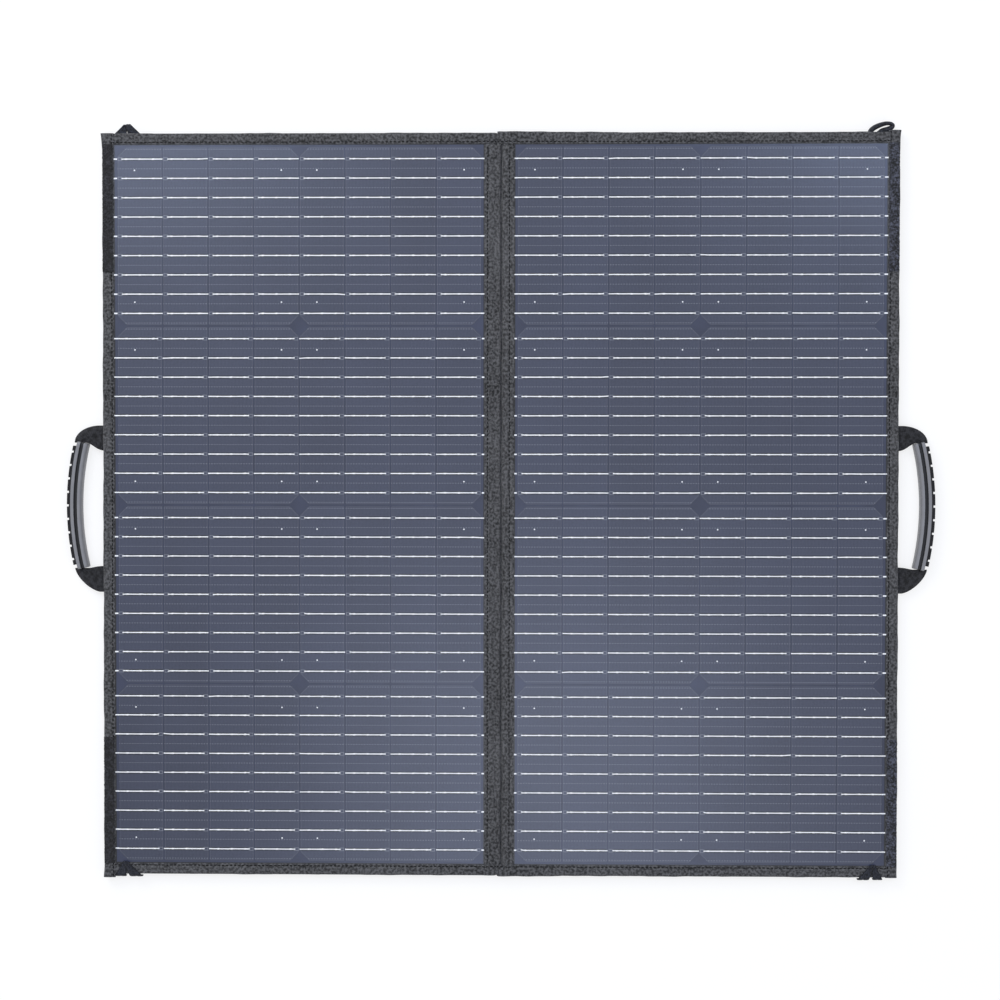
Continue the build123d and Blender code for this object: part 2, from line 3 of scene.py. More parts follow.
import bmesh
import bpy
import numpy as np
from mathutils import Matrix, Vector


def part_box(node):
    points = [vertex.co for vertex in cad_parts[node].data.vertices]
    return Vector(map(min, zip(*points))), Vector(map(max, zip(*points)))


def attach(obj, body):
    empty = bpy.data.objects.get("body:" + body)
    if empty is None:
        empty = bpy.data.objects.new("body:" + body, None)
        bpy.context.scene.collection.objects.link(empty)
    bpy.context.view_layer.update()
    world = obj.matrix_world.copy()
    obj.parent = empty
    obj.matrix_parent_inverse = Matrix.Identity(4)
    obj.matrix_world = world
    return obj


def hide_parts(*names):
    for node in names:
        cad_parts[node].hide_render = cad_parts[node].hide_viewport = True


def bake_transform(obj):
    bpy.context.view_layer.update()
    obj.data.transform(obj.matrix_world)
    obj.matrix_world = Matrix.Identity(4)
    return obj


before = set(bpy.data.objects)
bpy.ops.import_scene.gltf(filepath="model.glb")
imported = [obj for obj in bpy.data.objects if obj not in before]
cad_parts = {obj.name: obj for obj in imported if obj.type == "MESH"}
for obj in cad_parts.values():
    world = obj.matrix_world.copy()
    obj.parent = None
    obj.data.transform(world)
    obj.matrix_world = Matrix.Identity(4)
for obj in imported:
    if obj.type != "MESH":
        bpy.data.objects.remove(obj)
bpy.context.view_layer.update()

MM = 0.001
SIDES = {"left": -1.0, "right": 1.0}


# The floor gives back white to the camera and keeps a faint shadow of what lies on it.

def colour(text):
    """'#rrggbb' in sRGB as linear RGBA."""
    srgb = np.array([int(text[n:n + 2], 16) for n in (1, 3, 5)]) / 255
    linear = np.where(srgb <= 0.04045, srgb / 12.92, ((srgb + 0.055) / 1.055) ** 2.4)
    return (*linear.tolist(), 1.0)


def add_node(tree, kind, values=(), **settings):
    """Adds a shader node. values maps an input to a constant or to another node's output."""
    made = tree.nodes.new("ShaderNode" + kind)
    for key, value in settings.items():
        setattr(made, key, value)
    for key, value in dict(values).items():
        if isinstance(value, bpy.types.NodeSocket):
            tree.links.new(value, made.inputs[key])
        else:
            made.inputs[key].default_value = value
    return made


def maths(tree, operation, *values):
    """The output of a Math node."""
    return add_node(tree, "Math", enumerate(values), operation=operation).outputs[0]


def mixed(tree, factor, low, high):
    """Colour low where factor is 0 and high where it is 1."""
    values = {0: factor, 6: low, 7: high}
    return add_node(tree, "Mix", values, data_type="RGBA").outputs[2]


def stepped(tree, value, start, end):
    """0 where value is below start, 1 above end, and smooth between."""
    values = {0: value, 1: start, 2: end}
    return add_node(tree, "MapRange", values, interpolation_type="SMOOTHSTEP").outputs[0]


def noise(tree, vector, size, detail=2.0, **settings):
    """Noise of 0 to 1, with features of about size metres."""
    values = {"Vector": vector, "Scale": 1 / size, "Detail": detail}
    return add_node(tree, "TexNoise", values, **settings).outputs[0]


def new_material(name, **values):
    """A material's tree and shader. values are constants of the shader, with _ for a space."""
    material = bpy.data.materials.new(name)
    material.use_nodes = True
    shader = material.node_tree.nodes["Principled BSDF"]
    for key, value in values.items():
        shader.inputs[key.replace("_", " ")].default_value = value
    return material, material.node_tree, shader


def add_piece(name, vertices, faces, material, uv=None, smooth=40.0, **attributes):
    """A mesh object with its faces turned outward. uv has one pair per face corner, smooth is
    the angle in degrees above which an edge stays sharp, and attributes are per vertex."""
    mesh = bpy.data.meshes.new(name)
    vertices = np.asarray(vertices, float).reshape(-1, 3)
    mesh.from_pydata(vertices.tolist(), [], [[int(v) for v in face] for face in faces])
    if uv is not None:
        mesh.uv_layers.new(name="cloth").data.foreach_set("uv", np.asarray(uv, np.float32).ravel())
    for key, value in attributes.items():
        made = mesh.attributes.new(key, "FLOAT", "POINT")
        made.data.foreach_set("value", np.asarray(value, np.float32).ravel())
    shape = bmesh.new()
    shape.from_mesh(mesh)
    bmesh.ops.recalc_face_normals(shape, faces=shape.faces)
    shape.to_mesh(mesh)
    shape.free()
    mesh.shade_smooth()
    mesh.set_sharp_from_angle(angle=np.radians(smooth))
    mesh.materials.append(material)
    piece = bpy.data.objects.new(name, mesh)
    bpy.context.collection.objects.link(piece)
    return piece


FLOOR_HALF = 6.0

floor_material, tree, shader = new_material("white_sweep", Roughness=0.9)
tree.nodes.remove(shader)
rays = add_node(tree, "LightPath")
seen = maths(tree, "MAXIMUM", rays.outputs["Is Camera Ray"], rays.outputs["Is Glossy Ray"])
seen = maths(tree, "MAXIMUM", seen, rays.outputs["Is Transmission Ray"])
paper = add_node(tree, "BsdfDiffuse", {0: (0.30, 0.30, 0.30, 1)})
glow = add_node(tree, "Emission", {0: (1, 1, 1, 1), 1: 0.74})
lit = add_node(tree, "AddShader", {0: paper.outputs[0], 1: glow.outputs[0]})
plain = add_node(tree, "BsdfDiffuse", {0: (0.8, 0.8, 0.8, 1)})
chosen = add_node(tree, "MixShader", {0: seen, 1: plain.outputs[0], 2: lit.outputs[0]})
tree.links.new(chosen.outputs[0], tree.nodes["Material Output"].inputs[0])
corners = FLOOR_HALF * np.array([(-1, -1, 0), (1, -1, 0), (1, 1, 0), (-1, 1, 0)])
floor = add_piece("floor", corners, [(0, 1, 2, 3)], floor_material)

world = bpy.data.worlds.new("studio")
world.use_nodes = True
bpy.context.scene.world = world
tree = world.node_tree
rays = add_node(tree, "LightPath")
strength = maths(tree, "ADD", 0.50, maths(tree, "MULTIPLY", rays.outputs["Is Camera Ray"], 0.50))
tree.links.new(strength, tree.nodes["Background"].inputs[1])
tree.nodes["Background"].inputs[0].default_value = (1, 1, 1, 1)


def softbox(name, place, aim, size, power, tint="#ffffff"):
    """An area lamp at place, turned to aim."""
    lamp = bpy.data.lights.new(name, "AREA")
    lamp.color = colour(tint)[:3]
    lamp.shape = "RECTANGLE"
    lamp.size, lamp.size_y = size
    lamp.energy = power
    box = bpy.data.objects.new(name, lamp)
    box.location = place
    direction = bpy.context.scene.cursor.location.copy()
    direction.xyz = np.subtract(aim, place)
    box.rotation_euler = direction.to_track_quat("-Z", "Y").to_euler()
    bpy.context.collection.objects.link(box)


softbox("key", (-1.1, 1.5, 1.7), (0, 0, 0), (1.3, 1.0), 20)
softbox("fill", (1.5, -1.7, 2.4), (0, 0, 0), (1.4, 1.0), 8)
softbox("overhead", (0.04, -0.78, 3.0), (0.02, -0.3, 0), (1.0, 0.95), 10.5, "#d6e2ff")
softbox("upper_left", (-0.88, 1.12, 3.0), (-0.3, 0.3, 0), (0.8, 0.66), 10.5, "#c8daff")
softbox("upper_right", (0.98, 1.12, 3.0), (0.3, 0.3, 0), (0.8, 0.66), 14.0, "#c8daff")

camera = bpy.data.objects.new("camera", bpy.data.cameras.new("camera"))
camera.location = (0.0363, 0.0366, 1.800)
camera.rotation_euler = (-0.0202, 0.0199, 0.0010)
camera.data.lens = 68.94
bpy.context.collection.objects.link(camera)
bpy.context.scene.camera = camera
bpy.context.scene.view_settings.view_transform = "Standard"


# --- Solar laminate ----------------------------------------------------------------------
# Monocrystalline wafers cut in strips, soldered to tinned ribbons and laminated under a
# textured fluoropolymer film. The film is clear, so it is the clear coat of what lies in it.

cells_low, cells_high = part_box("right_solar_cells")
film_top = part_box("right_front_film")[1].z
STRIPS, ROWS = 8, 4
STRIP_GAP, ROW_GAP = 1.2 * MM, 1.6 * MM
STRIP_W = (cells_high.x - cells_low.x + STRIP_GAP) / STRIPS - STRIP_GAP
STRIP_L = (cells_high.y - cells_low.y + ROW_GAP) / ROWS - ROW_GAP
CHAMFER = 8.4 * MM
RIBBONS, RIBBON_PITCH, RIBBON_BREAK = 9, 18 * MM, 3.7 * MM
FIRST_RIBBON = (STRIP_L - (RIBBONS - 1) * RIBBON_PITCH) / 2
CELL_TOP = film_top - 0.10 * MM
SKIRT = 0.5 * MM               # depth of a cell's side below its face
CORNER_CUT = 0.25 * MM         # at the corners that the saw left square


def film_coat(shader):
    """The laminate's clear film: a satin coat, a little rippled by its texture."""
    shader.inputs["Coat Weight"].default_value = 1.0
    shader.inputs["Coat Roughness"].default_value = 0.24
    shader.inputs["Coat IOR"].default_value = 1.42


def cell_material():
    """Textured silicon with anti-reflection coating: dark blue-grey, with fine silver fingers
    across the ribbons, a bare rim, and dark bands beside each ribbon."""
    material, tree, shader = new_material("silicon_cell", Roughness=0.55, Metallic=0.0)
    place = add_node(tree, "UVMap", uv_map="cloth").outputs[0]
    split = add_node(tree, "SeparateXYZ", {0: place})
    across, along = split.outputs[0], split.outputs[1]
    inset = add_node(tree, "Attribute", attribute_name="inset").outputs["Fac"]
    tone = add_node(tree, "Attribute", attribute_name="tone").outputs["Fac"]
    open_end = add_node(tree, "Attribute", attribute_name="open_end").outputs["Fac"]
    where = add_node(tree, "TexCoord").outputs["Object"]
    shade = noise(tree, where, 60 * MM, 3.0)
    grain = noise(tree, where, 1.8 * MM, 3.0)
    tint = maths(tree, "ADD", maths(tree, "MULTIPLY", shade, 0.35), maths(tree, "MULTIPLY", grain, 0.5))
    tint = maths(tree, "ADD", tint, maths(tree, "MULTIPLY", tone, 0.15))
    base = mixed(tree, tint, colour("#171d31"), colour("#3c435b"))
    finger = maths(tree, "SINE", maths(tree, "MULTIPLY", across, 2 * np.pi / (1.3 * MM)))
    finger = maths(tree, "MULTIPLY", stepped(tree, finger, 0.55, 0.95), 0.10)
    base = mixed(tree, finger, base, colour("#8f94a0"))
    from_ribbon = maths(tree, "PINGPONG", maths(tree, "SUBTRACT", along, FIRST_RIBBON), RIBBON_PITCH / 2)
    from_end = maths(tree, "ABSOLUTE", maths(tree, "SUBTRACT", across, open_end))
    band = maths(tree, "SUBTRACT", 1.0, stepped(tree, from_ribbon, 1.2 * MM, 1.7 * MM))
    under_ribbon = stepped(tree, from_end, RIBBON_BREAK - 0.3 * MM, RIBBON_BREAK + 0.2 * MM)
    band = maths(tree, "MULTIPLY", band, under_ribbon)
    base = mixed(tree, maths(tree, "MULTIPLY", band, 0.85), base, colour("#080b16"))
    dots = maths(tree, "GREATER_THAN", from_ribbon, RIBBON_PITCH / 2 - 0.32 * MM)
    dash = maths(tree, "GREATER_THAN", maths(tree, "PINGPONG", across, 1.25 * MM), 0.62 * MM)
    dots = maths(tree, "MULTIPLY", maths(tree, "MULTIPLY", dots, dash), 0.32)
    base = mixed(tree, dots, base, colour("#a9adb6"))
    reach = maths(tree, "ABSOLUTE", maths(tree, "SUBTRACT", from_end, 2.6 * MM))
    reach = maths(tree, "ADD", reach, -1.9 * MM)
    tall = maths(tree, "SUBTRACT", from_ribbon, 1.25 * MM)
    rim = maths(tree, "ABSOLUTE", maths(tree, "MAXIMUM", reach, tall))
    pad = maths(tree, "MULTIPLY", maths(tree, "LESS_THAN", rim, 0.24 * MM), 0.42)
    base = mixed(tree, pad, base, colour("#a9adb6"))
    outline = maths(tree, "COMPARE", inset, 0.62 * MM, 0.30 * MM)
    base = mixed(tree, maths(tree, "MULTIPLY", outline, 0.14), base, colour("#7c808c"))
    rim_dark = maths(tree, "LESS_THAN", inset, 0.3 * MM)
    base = mixed(tree, maths(tree, "MULTIPLY", rim_dark, 0.4), base, colour("#10131f"))
    tree.links.new(base, shader.inputs["Base Color"])
    pebble = noise(tree, where, 1.1 * MM, 2.0)
    bump = add_node(tree, "Bump", {"Strength": 0.25, "Distance": 0.00012, "Height": pebble})
    tree.links.new(bump.outputs[0], shader.inputs["Coat Normal"])
    film_coat(shader)
    return material


def cut_corners(low, high, inner, outer):
    """Outlines of cell strips, (cells, 8, 2), anticlockwise from the lower inner corner. inner
    and outer are the legs of the corners cut off near and far from the fold."""
    x0, y0, x1, y1 = low[:, 0], low[:, 1], high[:, 0], high[:, 1]
    x = [x0 + inner, x1 - outer, x1, x1, x1 - outer, x0 + inner, x0, x0]
    y = [y0, y0, y0 + outer, y1 - outer, y1, y1, y1 - inner, y0 + inner]
    return np.stack([np.stack(x, -1), np.stack(y, -1)], -1)


def cell_strips(side):
    """The strips of one panel as shallow slabs, with a rim ring for the printed outline."""
    way = SIDES[side]
    row, column = [g.ravel() for g in np.meshgrid(np.arange(ROWS), np.arange(STRIPS), indexing="ij")]
    low = np.stack([cells_low.x + column * (STRIP_W + STRIP_GAP),
                    cells_high.y - row * (STRIP_L + ROW_GAP) - STRIP_L], -1)
    high = low + (STRIP_W, STRIP_L)
    inner = np.where(column % 4 == 0, CHAMFER, CORNER_CUT)
    outer = np.where(column % 4 == 3, CHAMFER, CORNER_CUT)
    rim = 1.1 * MM
    pull = rim * (2 - np.sqrt(2)) * 0.5
    edge = cut_corners(low, high, inner, outer)
    face = cut_corners(low + rim, high - rim, inner - pull * (inner > MM), outer - pull * (outer > MM))
    rings = np.stack([edge, edge, face], 1)
    height = np.array([CELL_TOP - SKIRT, CELL_TOP, CELL_TOP])[None, :, None] + 0 * rings[..., 0]
    vertices = np.concatenate([rings, height[..., None]], -1)
    local = rings - low[:, None, None]
    n, k = len(row), np.arange(8)
    quads = [np.stack([a * 8 + k, a * 8 + (k + 1) % 8, b * 8 + (k + 1) % 8, b * 8 + k], -1)
             for a, b in ((0, 1), (1, 2))]
    quads = np.concatenate(quads)[None] + np.arange(n)[:, None, None] * 24
    tops = [list(16 + k + 24 * c) for c in range(n)]
    bottoms = [list(k[::-1] + 24 * c) for c in range(n)]
    faces = quads.reshape(-1, 4).tolist() + tops + bottoms
    flat = local.reshape(-1, 2)
    uv = flat[np.concatenate([np.asarray(f) for f in faces])]
    vertices[..., 0] *= way
    tone = np.random.default_rng(11 + int(way)).uniform(0, 1, n)
    open_end = np.where(row % 2 == 0, STRIP_W, 0)
    spread = np.ones((n, 3, 8))
    inset = spread * np.array([0, 0, rim])[None, :, None]
    piece = add_piece(side + "_cell_strips", vertices, faces, silicon, uv, 20,
                      inset=inset, tone=spread * tone[:, None, None],
                      open_end=spread * open_end[:, None, None])
    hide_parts(side + "_solar_cells", side + "_front_film")
    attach(piece, side + "_panel")


silicon = cell_material()
for side in SIDES:
    cell_strips(side)


# --- Backsheet ---------------------------------------------------------------------------
# The laminate's dark back film shows in the gaps between the strips and at the cut corners,
# through the same clear film, which gives it the same satin surface.

laminate_low, laminate_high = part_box("right_front_film")
LAMINATE_Y = (laminate_low.y + laminate_high.y) / 2
SHADE_LINE_X = laminate_high.x - 11.0 * MM
SHADE_LINE_Y = (laminate_high.y - laminate_low.y) / 2 - 11.0 * MM
SPINE_SHADE_X = 14.9 * MM       # the far edge of the painted shade at the spine


def sheet_material():
    """Blue-grey polyester backsheet, even in tone, with a dark line of painted shade next to the
    binding and the spine, where they shade the laminate."""
    material, tree, shader = new_material("polyester_backsheet", Roughness=0.6)
    where = add_node(tree, "TexCoord").outputs["Object"]
    cloud = noise(tree, where, 25 * MM, 3.0)
    base = mixed(tree, cloud, colour("#161d33"), colour("#333b57"))
    split = add_node(tree, "SeparateXYZ", {0: where})
    aside = maths(tree, "ABSOLUTE", split.outputs[0])
    upward = maths(tree, "ABSOLUTE", maths(tree, "SUBTRACT", split.outputs[1], LAMINATE_Y))
    # Painted shade: a dark line just inside the binding and beside the spine's cloth.
    painted_shade = maths(tree, "MAXIMUM", stepped(tree, aside, SHADE_LINE_X - 0.4 * MM, SHADE_LINE_X + 0.4 * MM),
                 stepped(tree, upward, SHADE_LINE_Y - 0.4 * MM, SHADE_LINE_Y + 0.4 * MM))
    painted_shade = maths(tree, "MAXIMUM", painted_shade, maths(tree, "LESS_THAN", aside, SPINE_SHADE_X))
    base = mixed(tree, painted_shade, base, colour("#07080c"))
    tree.links.new(base, shader.inputs["Base Color"])
    pebble = noise(tree, where, 1.1 * MM, 2.0)
    bump = add_node(tree, "Bump", {"Strength": 0.25, "Distance": 0.00012, "Height": pebble})
    tree.links.new(bump.outputs[0], shader.inputs["Coat Normal"])
    film_coat(shader)
    return material


def slab(low, high):
    """Vertices and faces of a box between two corners."""
    ends = np.array([low, high], float)
    pick = np.array([(0, 0, 0), (1, 0, 0), (1, 1, 0), (0, 1, 0), (0, 0, 1), (1, 0, 1), (1, 1, 1), (0, 1, 1)])
    faces = [(0, 3, 2, 1), (4, 5, 6, 7), (0, 1, 5, 4), (1, 2, 6, 5), (2, 3, 7, 6), (3, 0, 4, 7)]
    return ends[pick, [0, 1, 2]], faces


backsheet = sheet_material()
for side, way in SIDES.items():
    low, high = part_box(side + "_front_film")
    low.z, high.z = CELL_TOP - 0.6 * MM, CELL_TOP - 0.12 * MM
    piece = add_piece(side + "_laminate_ground", *slab(low, high), backsheet)
    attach(piece, side + "_panel")


# --- Ribbons and test marks --------------------------------------------------------------
# Flat tinned copper ribbons soldered across each strip, wider at three solder pads, and a
# little uneven, as they are laid by hand. Four white marks are printed on each wafer.

RIBBON_W, PAD_W = 1.3 * MM, 1.8 * MM
PAD_PITCH, PAD_HALF = 12.7 * MM, 1.7 * MM
RIBBON_TOP = CELL_TOP + 0.16 * MM
BINDING_W = 10.5 * MM
EDGE_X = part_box("right_edge_binding")[1].x - BINDING_W
SPINE_X = 13.6 * MM            # where a ribbon goes under the spine's cloth
TUCK = 0.4 * MM                # and how far one goes under the binding


def tin_material():
    """Solder-dipped copper, coloured nearly white as a painted reflection of the tin's shine, and
    whitest on the pads where the solder pooled, a painted highlight.
    """
    material, tree, shader = new_material("tinned_ribbon", Roughness=0.5, Metallic=0.0)
    where = add_node(tree, "TexCoord").outputs["Object"]
    pool = add_node(tree, "Attribute", attribute_name="pool").outputs["Fac"]
    streak = noise(tree, where, 2.2 * MM, 3.0)
    base = mixed(tree, streak, colour("#f0f2f6"), colour("#fdfeff"))
    # Painted highlight on the solder pads.
    base = mixed(tree, pool, base, colour("#ffffff"))
    tree.links.new(base, shader.inputs["Base Color"])
    bump = add_node(tree, "Bump", {"Strength": 0.3, "Distance": 0.0001, "Height": streak})
    tree.links.new(bump.outputs[0], shader.inputs["Normal"])
    shader.inputs["Coat Weight"].default_value = 0.5
    shader.inputs["Coat Roughness"].default_value = 0.3
    return material


def ribbon_bars(side):
    """All the ribbons of one panel. Each is a low crowned bar of 11 stations by 4 points."""
    way = SIDES[side]
    rng = np.random.default_rng(31 + int(way))
    grids = np.meshgrid(np.arange(ROWS), np.arange(STRIPS), np.arange(RIBBONS), indexing="ij")
    row, column, line = [g.ravel() for g in grids]
    x0 = cells_low.x + column * (STRIP_W + STRIP_GAP)
    centre = x0 + STRIP_W / 2
    start = x0 + np.where(row % 2 == 0, -STRIP_GAP / 2, RIBBON_BREAK)
    end = x0 + STRIP_W + np.where(row % 2 == 0, -RIBBON_BREAK, STRIP_GAP / 2)
    first = (row % 2 == 0) & (column == 0)
    start = np.where(first, SPINE_X, start + rng.normal(0, 0.15 * MM, len(row)))
    last = (row % 2 == 1) & (column == STRIPS - 1)
    end = np.where(last, EDGE_X + TUCK, end + rng.normal(0, 0.15 * MM, len(row)))
    y = cells_high.y - row * (STRIP_L + ROW_GAP) - FIRST_RIBBON - line * RIBBON_PITCH
    pads = np.add.outer(centre, (-PAD_PITCH, 0, PAD_PITCH))
    inside = np.stack([pads - PAD_HALF, pads, pads + PAD_HALF], -1).reshape(len(row), -1)
    x = np.concatenate([start[:, None], inside, end[:, None]], 1)
    wide = np.where(np.arange(11) % 3 == 2, PAD_W, RIBBON_W) * rng.normal(1, 0.05, x.shape)
    # How much painted highlight each station gets: full on the pads, faint between them.
    pool = np.where(np.arange(11) % 3 == 2, 1.0, 0.15) * np.ones(x.shape)
    bend = rng.normal(0, 0.03 * MM, x.shape) + y[:, None]
    bend[:, [0, -1]] += rng.normal(0, 0.25 * MM, (len(row), 2)) * (rng.random((len(row), 2)) < 0.15)
    profile = np.array([(-0.5, -0.4), (-0.32, 0), (0.32, 0), (0.5, -0.4)])
    vertices = np.stack([
        np.broadcast_to(way * x[..., None], (*x.shape, 4)),
        bend[..., None] + wide[..., None] * profile[:, 0],
        np.broadcast_to(RIBBON_TOP + profile[:, 1] * MM, (*x.shape, 4))], -1)
    n, stations = x.shape
    i, j = np.meshgrid(np.arange(stations - 1), np.arange(4), indexing="ij")
    one = np.stack([i * 4 + j, (i + 1) * 4 + j, (i + 1) * 4 + (j + 1) % 4, i * 4 + (j + 1) % 4], -1)
    one = np.concatenate([one.reshape(-1, 4), [(0, 1, 2, 3)], [np.arange(4)[::-1] + (stations - 1) * 4]])
    faces = (one[None] + np.arange(n)[:, None, None] * stations * 4).reshape(-1, 4)
    piece = add_piece(side + "_tinned_ribbons", vertices, faces, tin, None, 60,
                      pool=np.repeat(pool.ravel(), 4))
    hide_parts(side + "_ribbons")
    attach(piece, side + "_panel")


def ribbon_tails(side):
    """Short ends of ribbon in the margin, where each row's string runs under the cloth."""
    way = SIDES[side]
    vertices, faces = [], []
    at_edge = (cells_high.x + 0.3 * MM, EDGE_X + TUCK)
    at_spine = (SPINE_X, cells_low.x - 0.6 * MM)
    for row in range(ROWS):
        x0, x1 = at_edge if row % 2 == 0 else at_spine
        for line in range(RIBBONS):
            y = cells_high.y - row * (STRIP_L + ROW_GAP) - FIRST_RIBBON - line * RIBBON_PITCH
            box, sides = slab((min(way * x0, way * x1), y - RIBBON_W / 2, CELL_TOP - 0.1 * MM),
                              (max(way * x0, way * x1), y + RIBBON_W / 2, RIBBON_TOP))
            faces += [[v + 8 * len(vertices) for v in face] for face in sides]
            vertices.append(box)
    piece = add_piece(side + "_ribbon_tails", vertices, faces, tin, None, 30,
                      pool=np.full(8 * len(vertices), 0.2))
    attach(piece, side + "_panel")


def discs(centres, radius, z, sides=10):
    """Thin round discs, as vertices and faces."""
    turn = np.arange(sides) * 2 * np.pi / sides
    ring = np.stack([np.cos(turn), np.sin(turn)], -1) * radius
    flat = centres[:, None, None, :] + ring[None, None] + np.zeros((1, 2, 1, 1))
    height = np.array([z - 0.1 * MM, z])[None, :, None, None] + 0 * flat[..., :1]
    vertices = np.concatenate([flat, height], -1)
    k, faces = np.arange(sides), []
    for n in range(len(centres)):
        base = n * 2 * sides
        faces += (np.stack([k, (k + 1) % sides, (k + 1) % sides + sides, k + sides], -1) + base).tolist()
        faces += [list(base + k[::-1]), list(base + sides + k)]
    return vertices, faces


def wafer_marks(side):
    """Four round marks on each wafer, between its outer pairs of ribbons."""
    wafer_w = 4 * STRIP_W + 3 * STRIP_GAP
    centres = []
    for row in range(ROWS):
        for wafer in range(2):
            x = cells_low.x + wafer * (wafer_w + STRIP_GAP) + wafer_w / 2
            y = cells_high.y - row * (STRIP_L + ROW_GAP) - STRIP_L / 2
            centres += [(x + a * (wafer_w / 2 - 16 * MM), y + b * (STRIP_L / 2 - 21.5 * MM))
                        for a in (-1, 1) for b in (-1, 1)]
    centres = np.array(centres) * (SIDES[side], 1)
    piece = add_piece(side + "_wafer_marks", *discs(centres, 0.7 * MM, CELL_TOP + 0.05 * MM), tin)
    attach(piece, side + "_panel")


tin = tin_material()
for side in SIDES:
    ribbon_bars(side)
    ribbon_tails(side)
    wafer_marks(side)


# --- Edge bindings -----------------------------------------------------------------------
# Strips of 600-denier polyester folded over the panel's edges and sewn through close to
# their inner edge. The side strip is sewn last and wraps over the ends of the other two.

edge_low, edge_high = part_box("right_edge_binding")
MIDDLE_Y = (edge_low.y + edge_high.y) / 2
BINDING_TUCK = 0.6 * MM
HALF_Y = (edge_high.y - edge_low.y) / 2
HALF_X = edge_high.x
BINDING_FACE = np.array([
    (0, 11.02), (0.12, 11.45), (0.55, 11.74), (1.3, 11.72), (1.9, 11.5), (2.5, 11.72), (4.2, 11.98),
    (6.4, 12.0), (8.3, 11.9), (9.4, 11.62), (10.1, 11.05), (10.42, 10.2), (10.5, 9), (10.5, 6.5),
    (10.42, 5.3), (10.1, 4.45), (9.4, 3.9), (8.3, 3.65), (6.4, 3.55), (4.2, 3.58), (2.5, 3.8),
    (1.9, 4.0), (1.3, 3.78), (0.55, 3.76), (0.12, 4.05), (0, 4.48)]) * MM
BINDING_LINING = np.array([
    (1.9, 4.5), (5, 4.5), (8.8, 4.5), (9.72, 5.0), (9.75, 7.7), (9.72, 10.5), (8.8, 11), (5, 11),
    (1.9, 11)]) * MM


def tube(rings):
    """Closed surface through rings[i, j], point j of ring i, with flat ends. Its map is in
    metres: u along the middles of the rings and v round them."""
    n, m = rings.shape[:2]
    i, j = np.meshgrid(np.arange(n - 1), np.arange(m), indexing="ij")
    corners = [(i, j), (i + 1, j), (i + 1, j + 1), (i, j + 1)]
    faces = np.stack([a * m + b % m for a, b in corners], -1).reshape(-1, 4).tolist()
    along = np.r_[0, np.cumsum(np.linalg.norm(np.diff(rings.mean(1), axis=0), axis=1))]
    steps = np.diff(np.concatenate([rings, rings[:, :1]], 1), axis=1)
    around = np.r_[0, np.cumsum(np.linalg.norm(steps, axis=2).mean(0))]
    uv = np.stack([np.stack([along[a], around[b]], -1) for a, b in corners], -2).reshape(-1, 2)
    k = np.arange(m)
    faces += [k[::-1].tolist(), ((n - 1) * m + k).tolist()]
    ends = [np.stack([0 * k, around[k[::-1]]], -1), np.stack([0 * k + along[-1], around[k]], -1)]
    uv = np.concatenate([uv, *ends])
    return rings.reshape(-1, 3), faces, uv


def ripple(along, seed, waves, height):
    """Seeded smooth waviness along a length: the mean of one sine per wavelength."""
    phase = np.random.default_rng(seed).uniform(0, 2 * np.pi, len(waves))
    return height * np.mean([np.sin(2 * np.pi * along / w + p) for w, p in zip(waves, phase)], 0)


def weave(tree, place, pitch):
    """Height of a plain weave, 0 to 1: warp ridges where sin(u)sin(v) > 0 and weft elsewhere."""
    split = add_node(tree, "SeparateXYZ", {0: place})
    waves = [maths(tree, "SINE", maths(tree, "MULTIPLY", split.outputs[n], np.pi / pitch)) for n in (0, 1)]
    warp_up = stepped(tree, maths(tree, "MULTIPLY", *waves), -0.15, 0.15)
    warp, weft = [maths(tree, "ABSOLUTE", w) for w in waves]
    over = maths(tree, "MULTIPLY", warp, warp_up)
    under = maths(tree, "MULTIPLY", weft, maths(tree, "SUBTRACT", 1.0, warp_up))
    return maths(tree, "ADD", over, under)


def woven(name, dark, light, pitch, mottle=0.5, rough=0.85, sheen=0.15):
    """Woven cloth: threads over and under at pitch, each a little different in tone, mottled
    where the yarn took less dye, with a soft sheen from its fibres."""
    material, tree, shader = new_material(
        name, Roughness=rough, Sheen_Weight=sheen, Sheen_Roughness=0.5, Specular_IOR_Level=0.3)
    place = add_node(tree, "UVMap", uv_map="cloth").outputs[0]
    thread = weave(tree, place, pitch)
    yarn = noise(tree, place, 2.3 * pitch, 3.0)
    patch = noise(tree, place, 9 * MM, 3.0)
    broad = noise(tree, place, 70 * MM, 2.0)
    tint = maths(tree, "MULTIPLY", stepped(tree, yarn, 0.36, 0.64), mottle)
    tint = maths(tree, "ADD", tint, maths(tree, "MULTIPLY", thread, 0.30))
    tint = maths(tree, "ADD", tint, maths(tree, "MULTIPLY", maths(tree, "SUBTRACT", patch, 0.5), 0.5))
    tint = maths(tree, "ADD", tint, maths(tree, "MULTIPLY", maths(tree, "SUBTRACT", broad, 0.5), 0.5))
    base = mixed(tree, tint, colour(dark), colour(light))
    tree.links.new(base, shader.inputs["Base Color"])
    height = maths(tree, "ADD", thread, maths(tree, "MULTIPLY", yarn, 0.5))
    bump = add_node(tree, "Bump", {"Strength": 0.8, "Distance": 0.0003, "Height": height})
    tree.links.new(bump.outputs[0], shader.inputs["Normal"])
    return material


def thread_material():
    """Bonded nylon thread sunk in its needle holes, coloured nearly black as painted shade of the holes."""
    material, tree, shader = new_material("sewing_thread", Roughness=0.7, Specular_IOR_Level=0.2)
    where = add_node(tree, "TexCoord").outputs["Object"]
    twist = noise(tree, where, 0.5 * MM, 2.0)
    tree.links.new(mixed(tree, twist, colour("#030304"), colour("#0e0e10")), shader.inputs["Base Color"])
    return material


STITCH_PITCH = 3.75 * MM


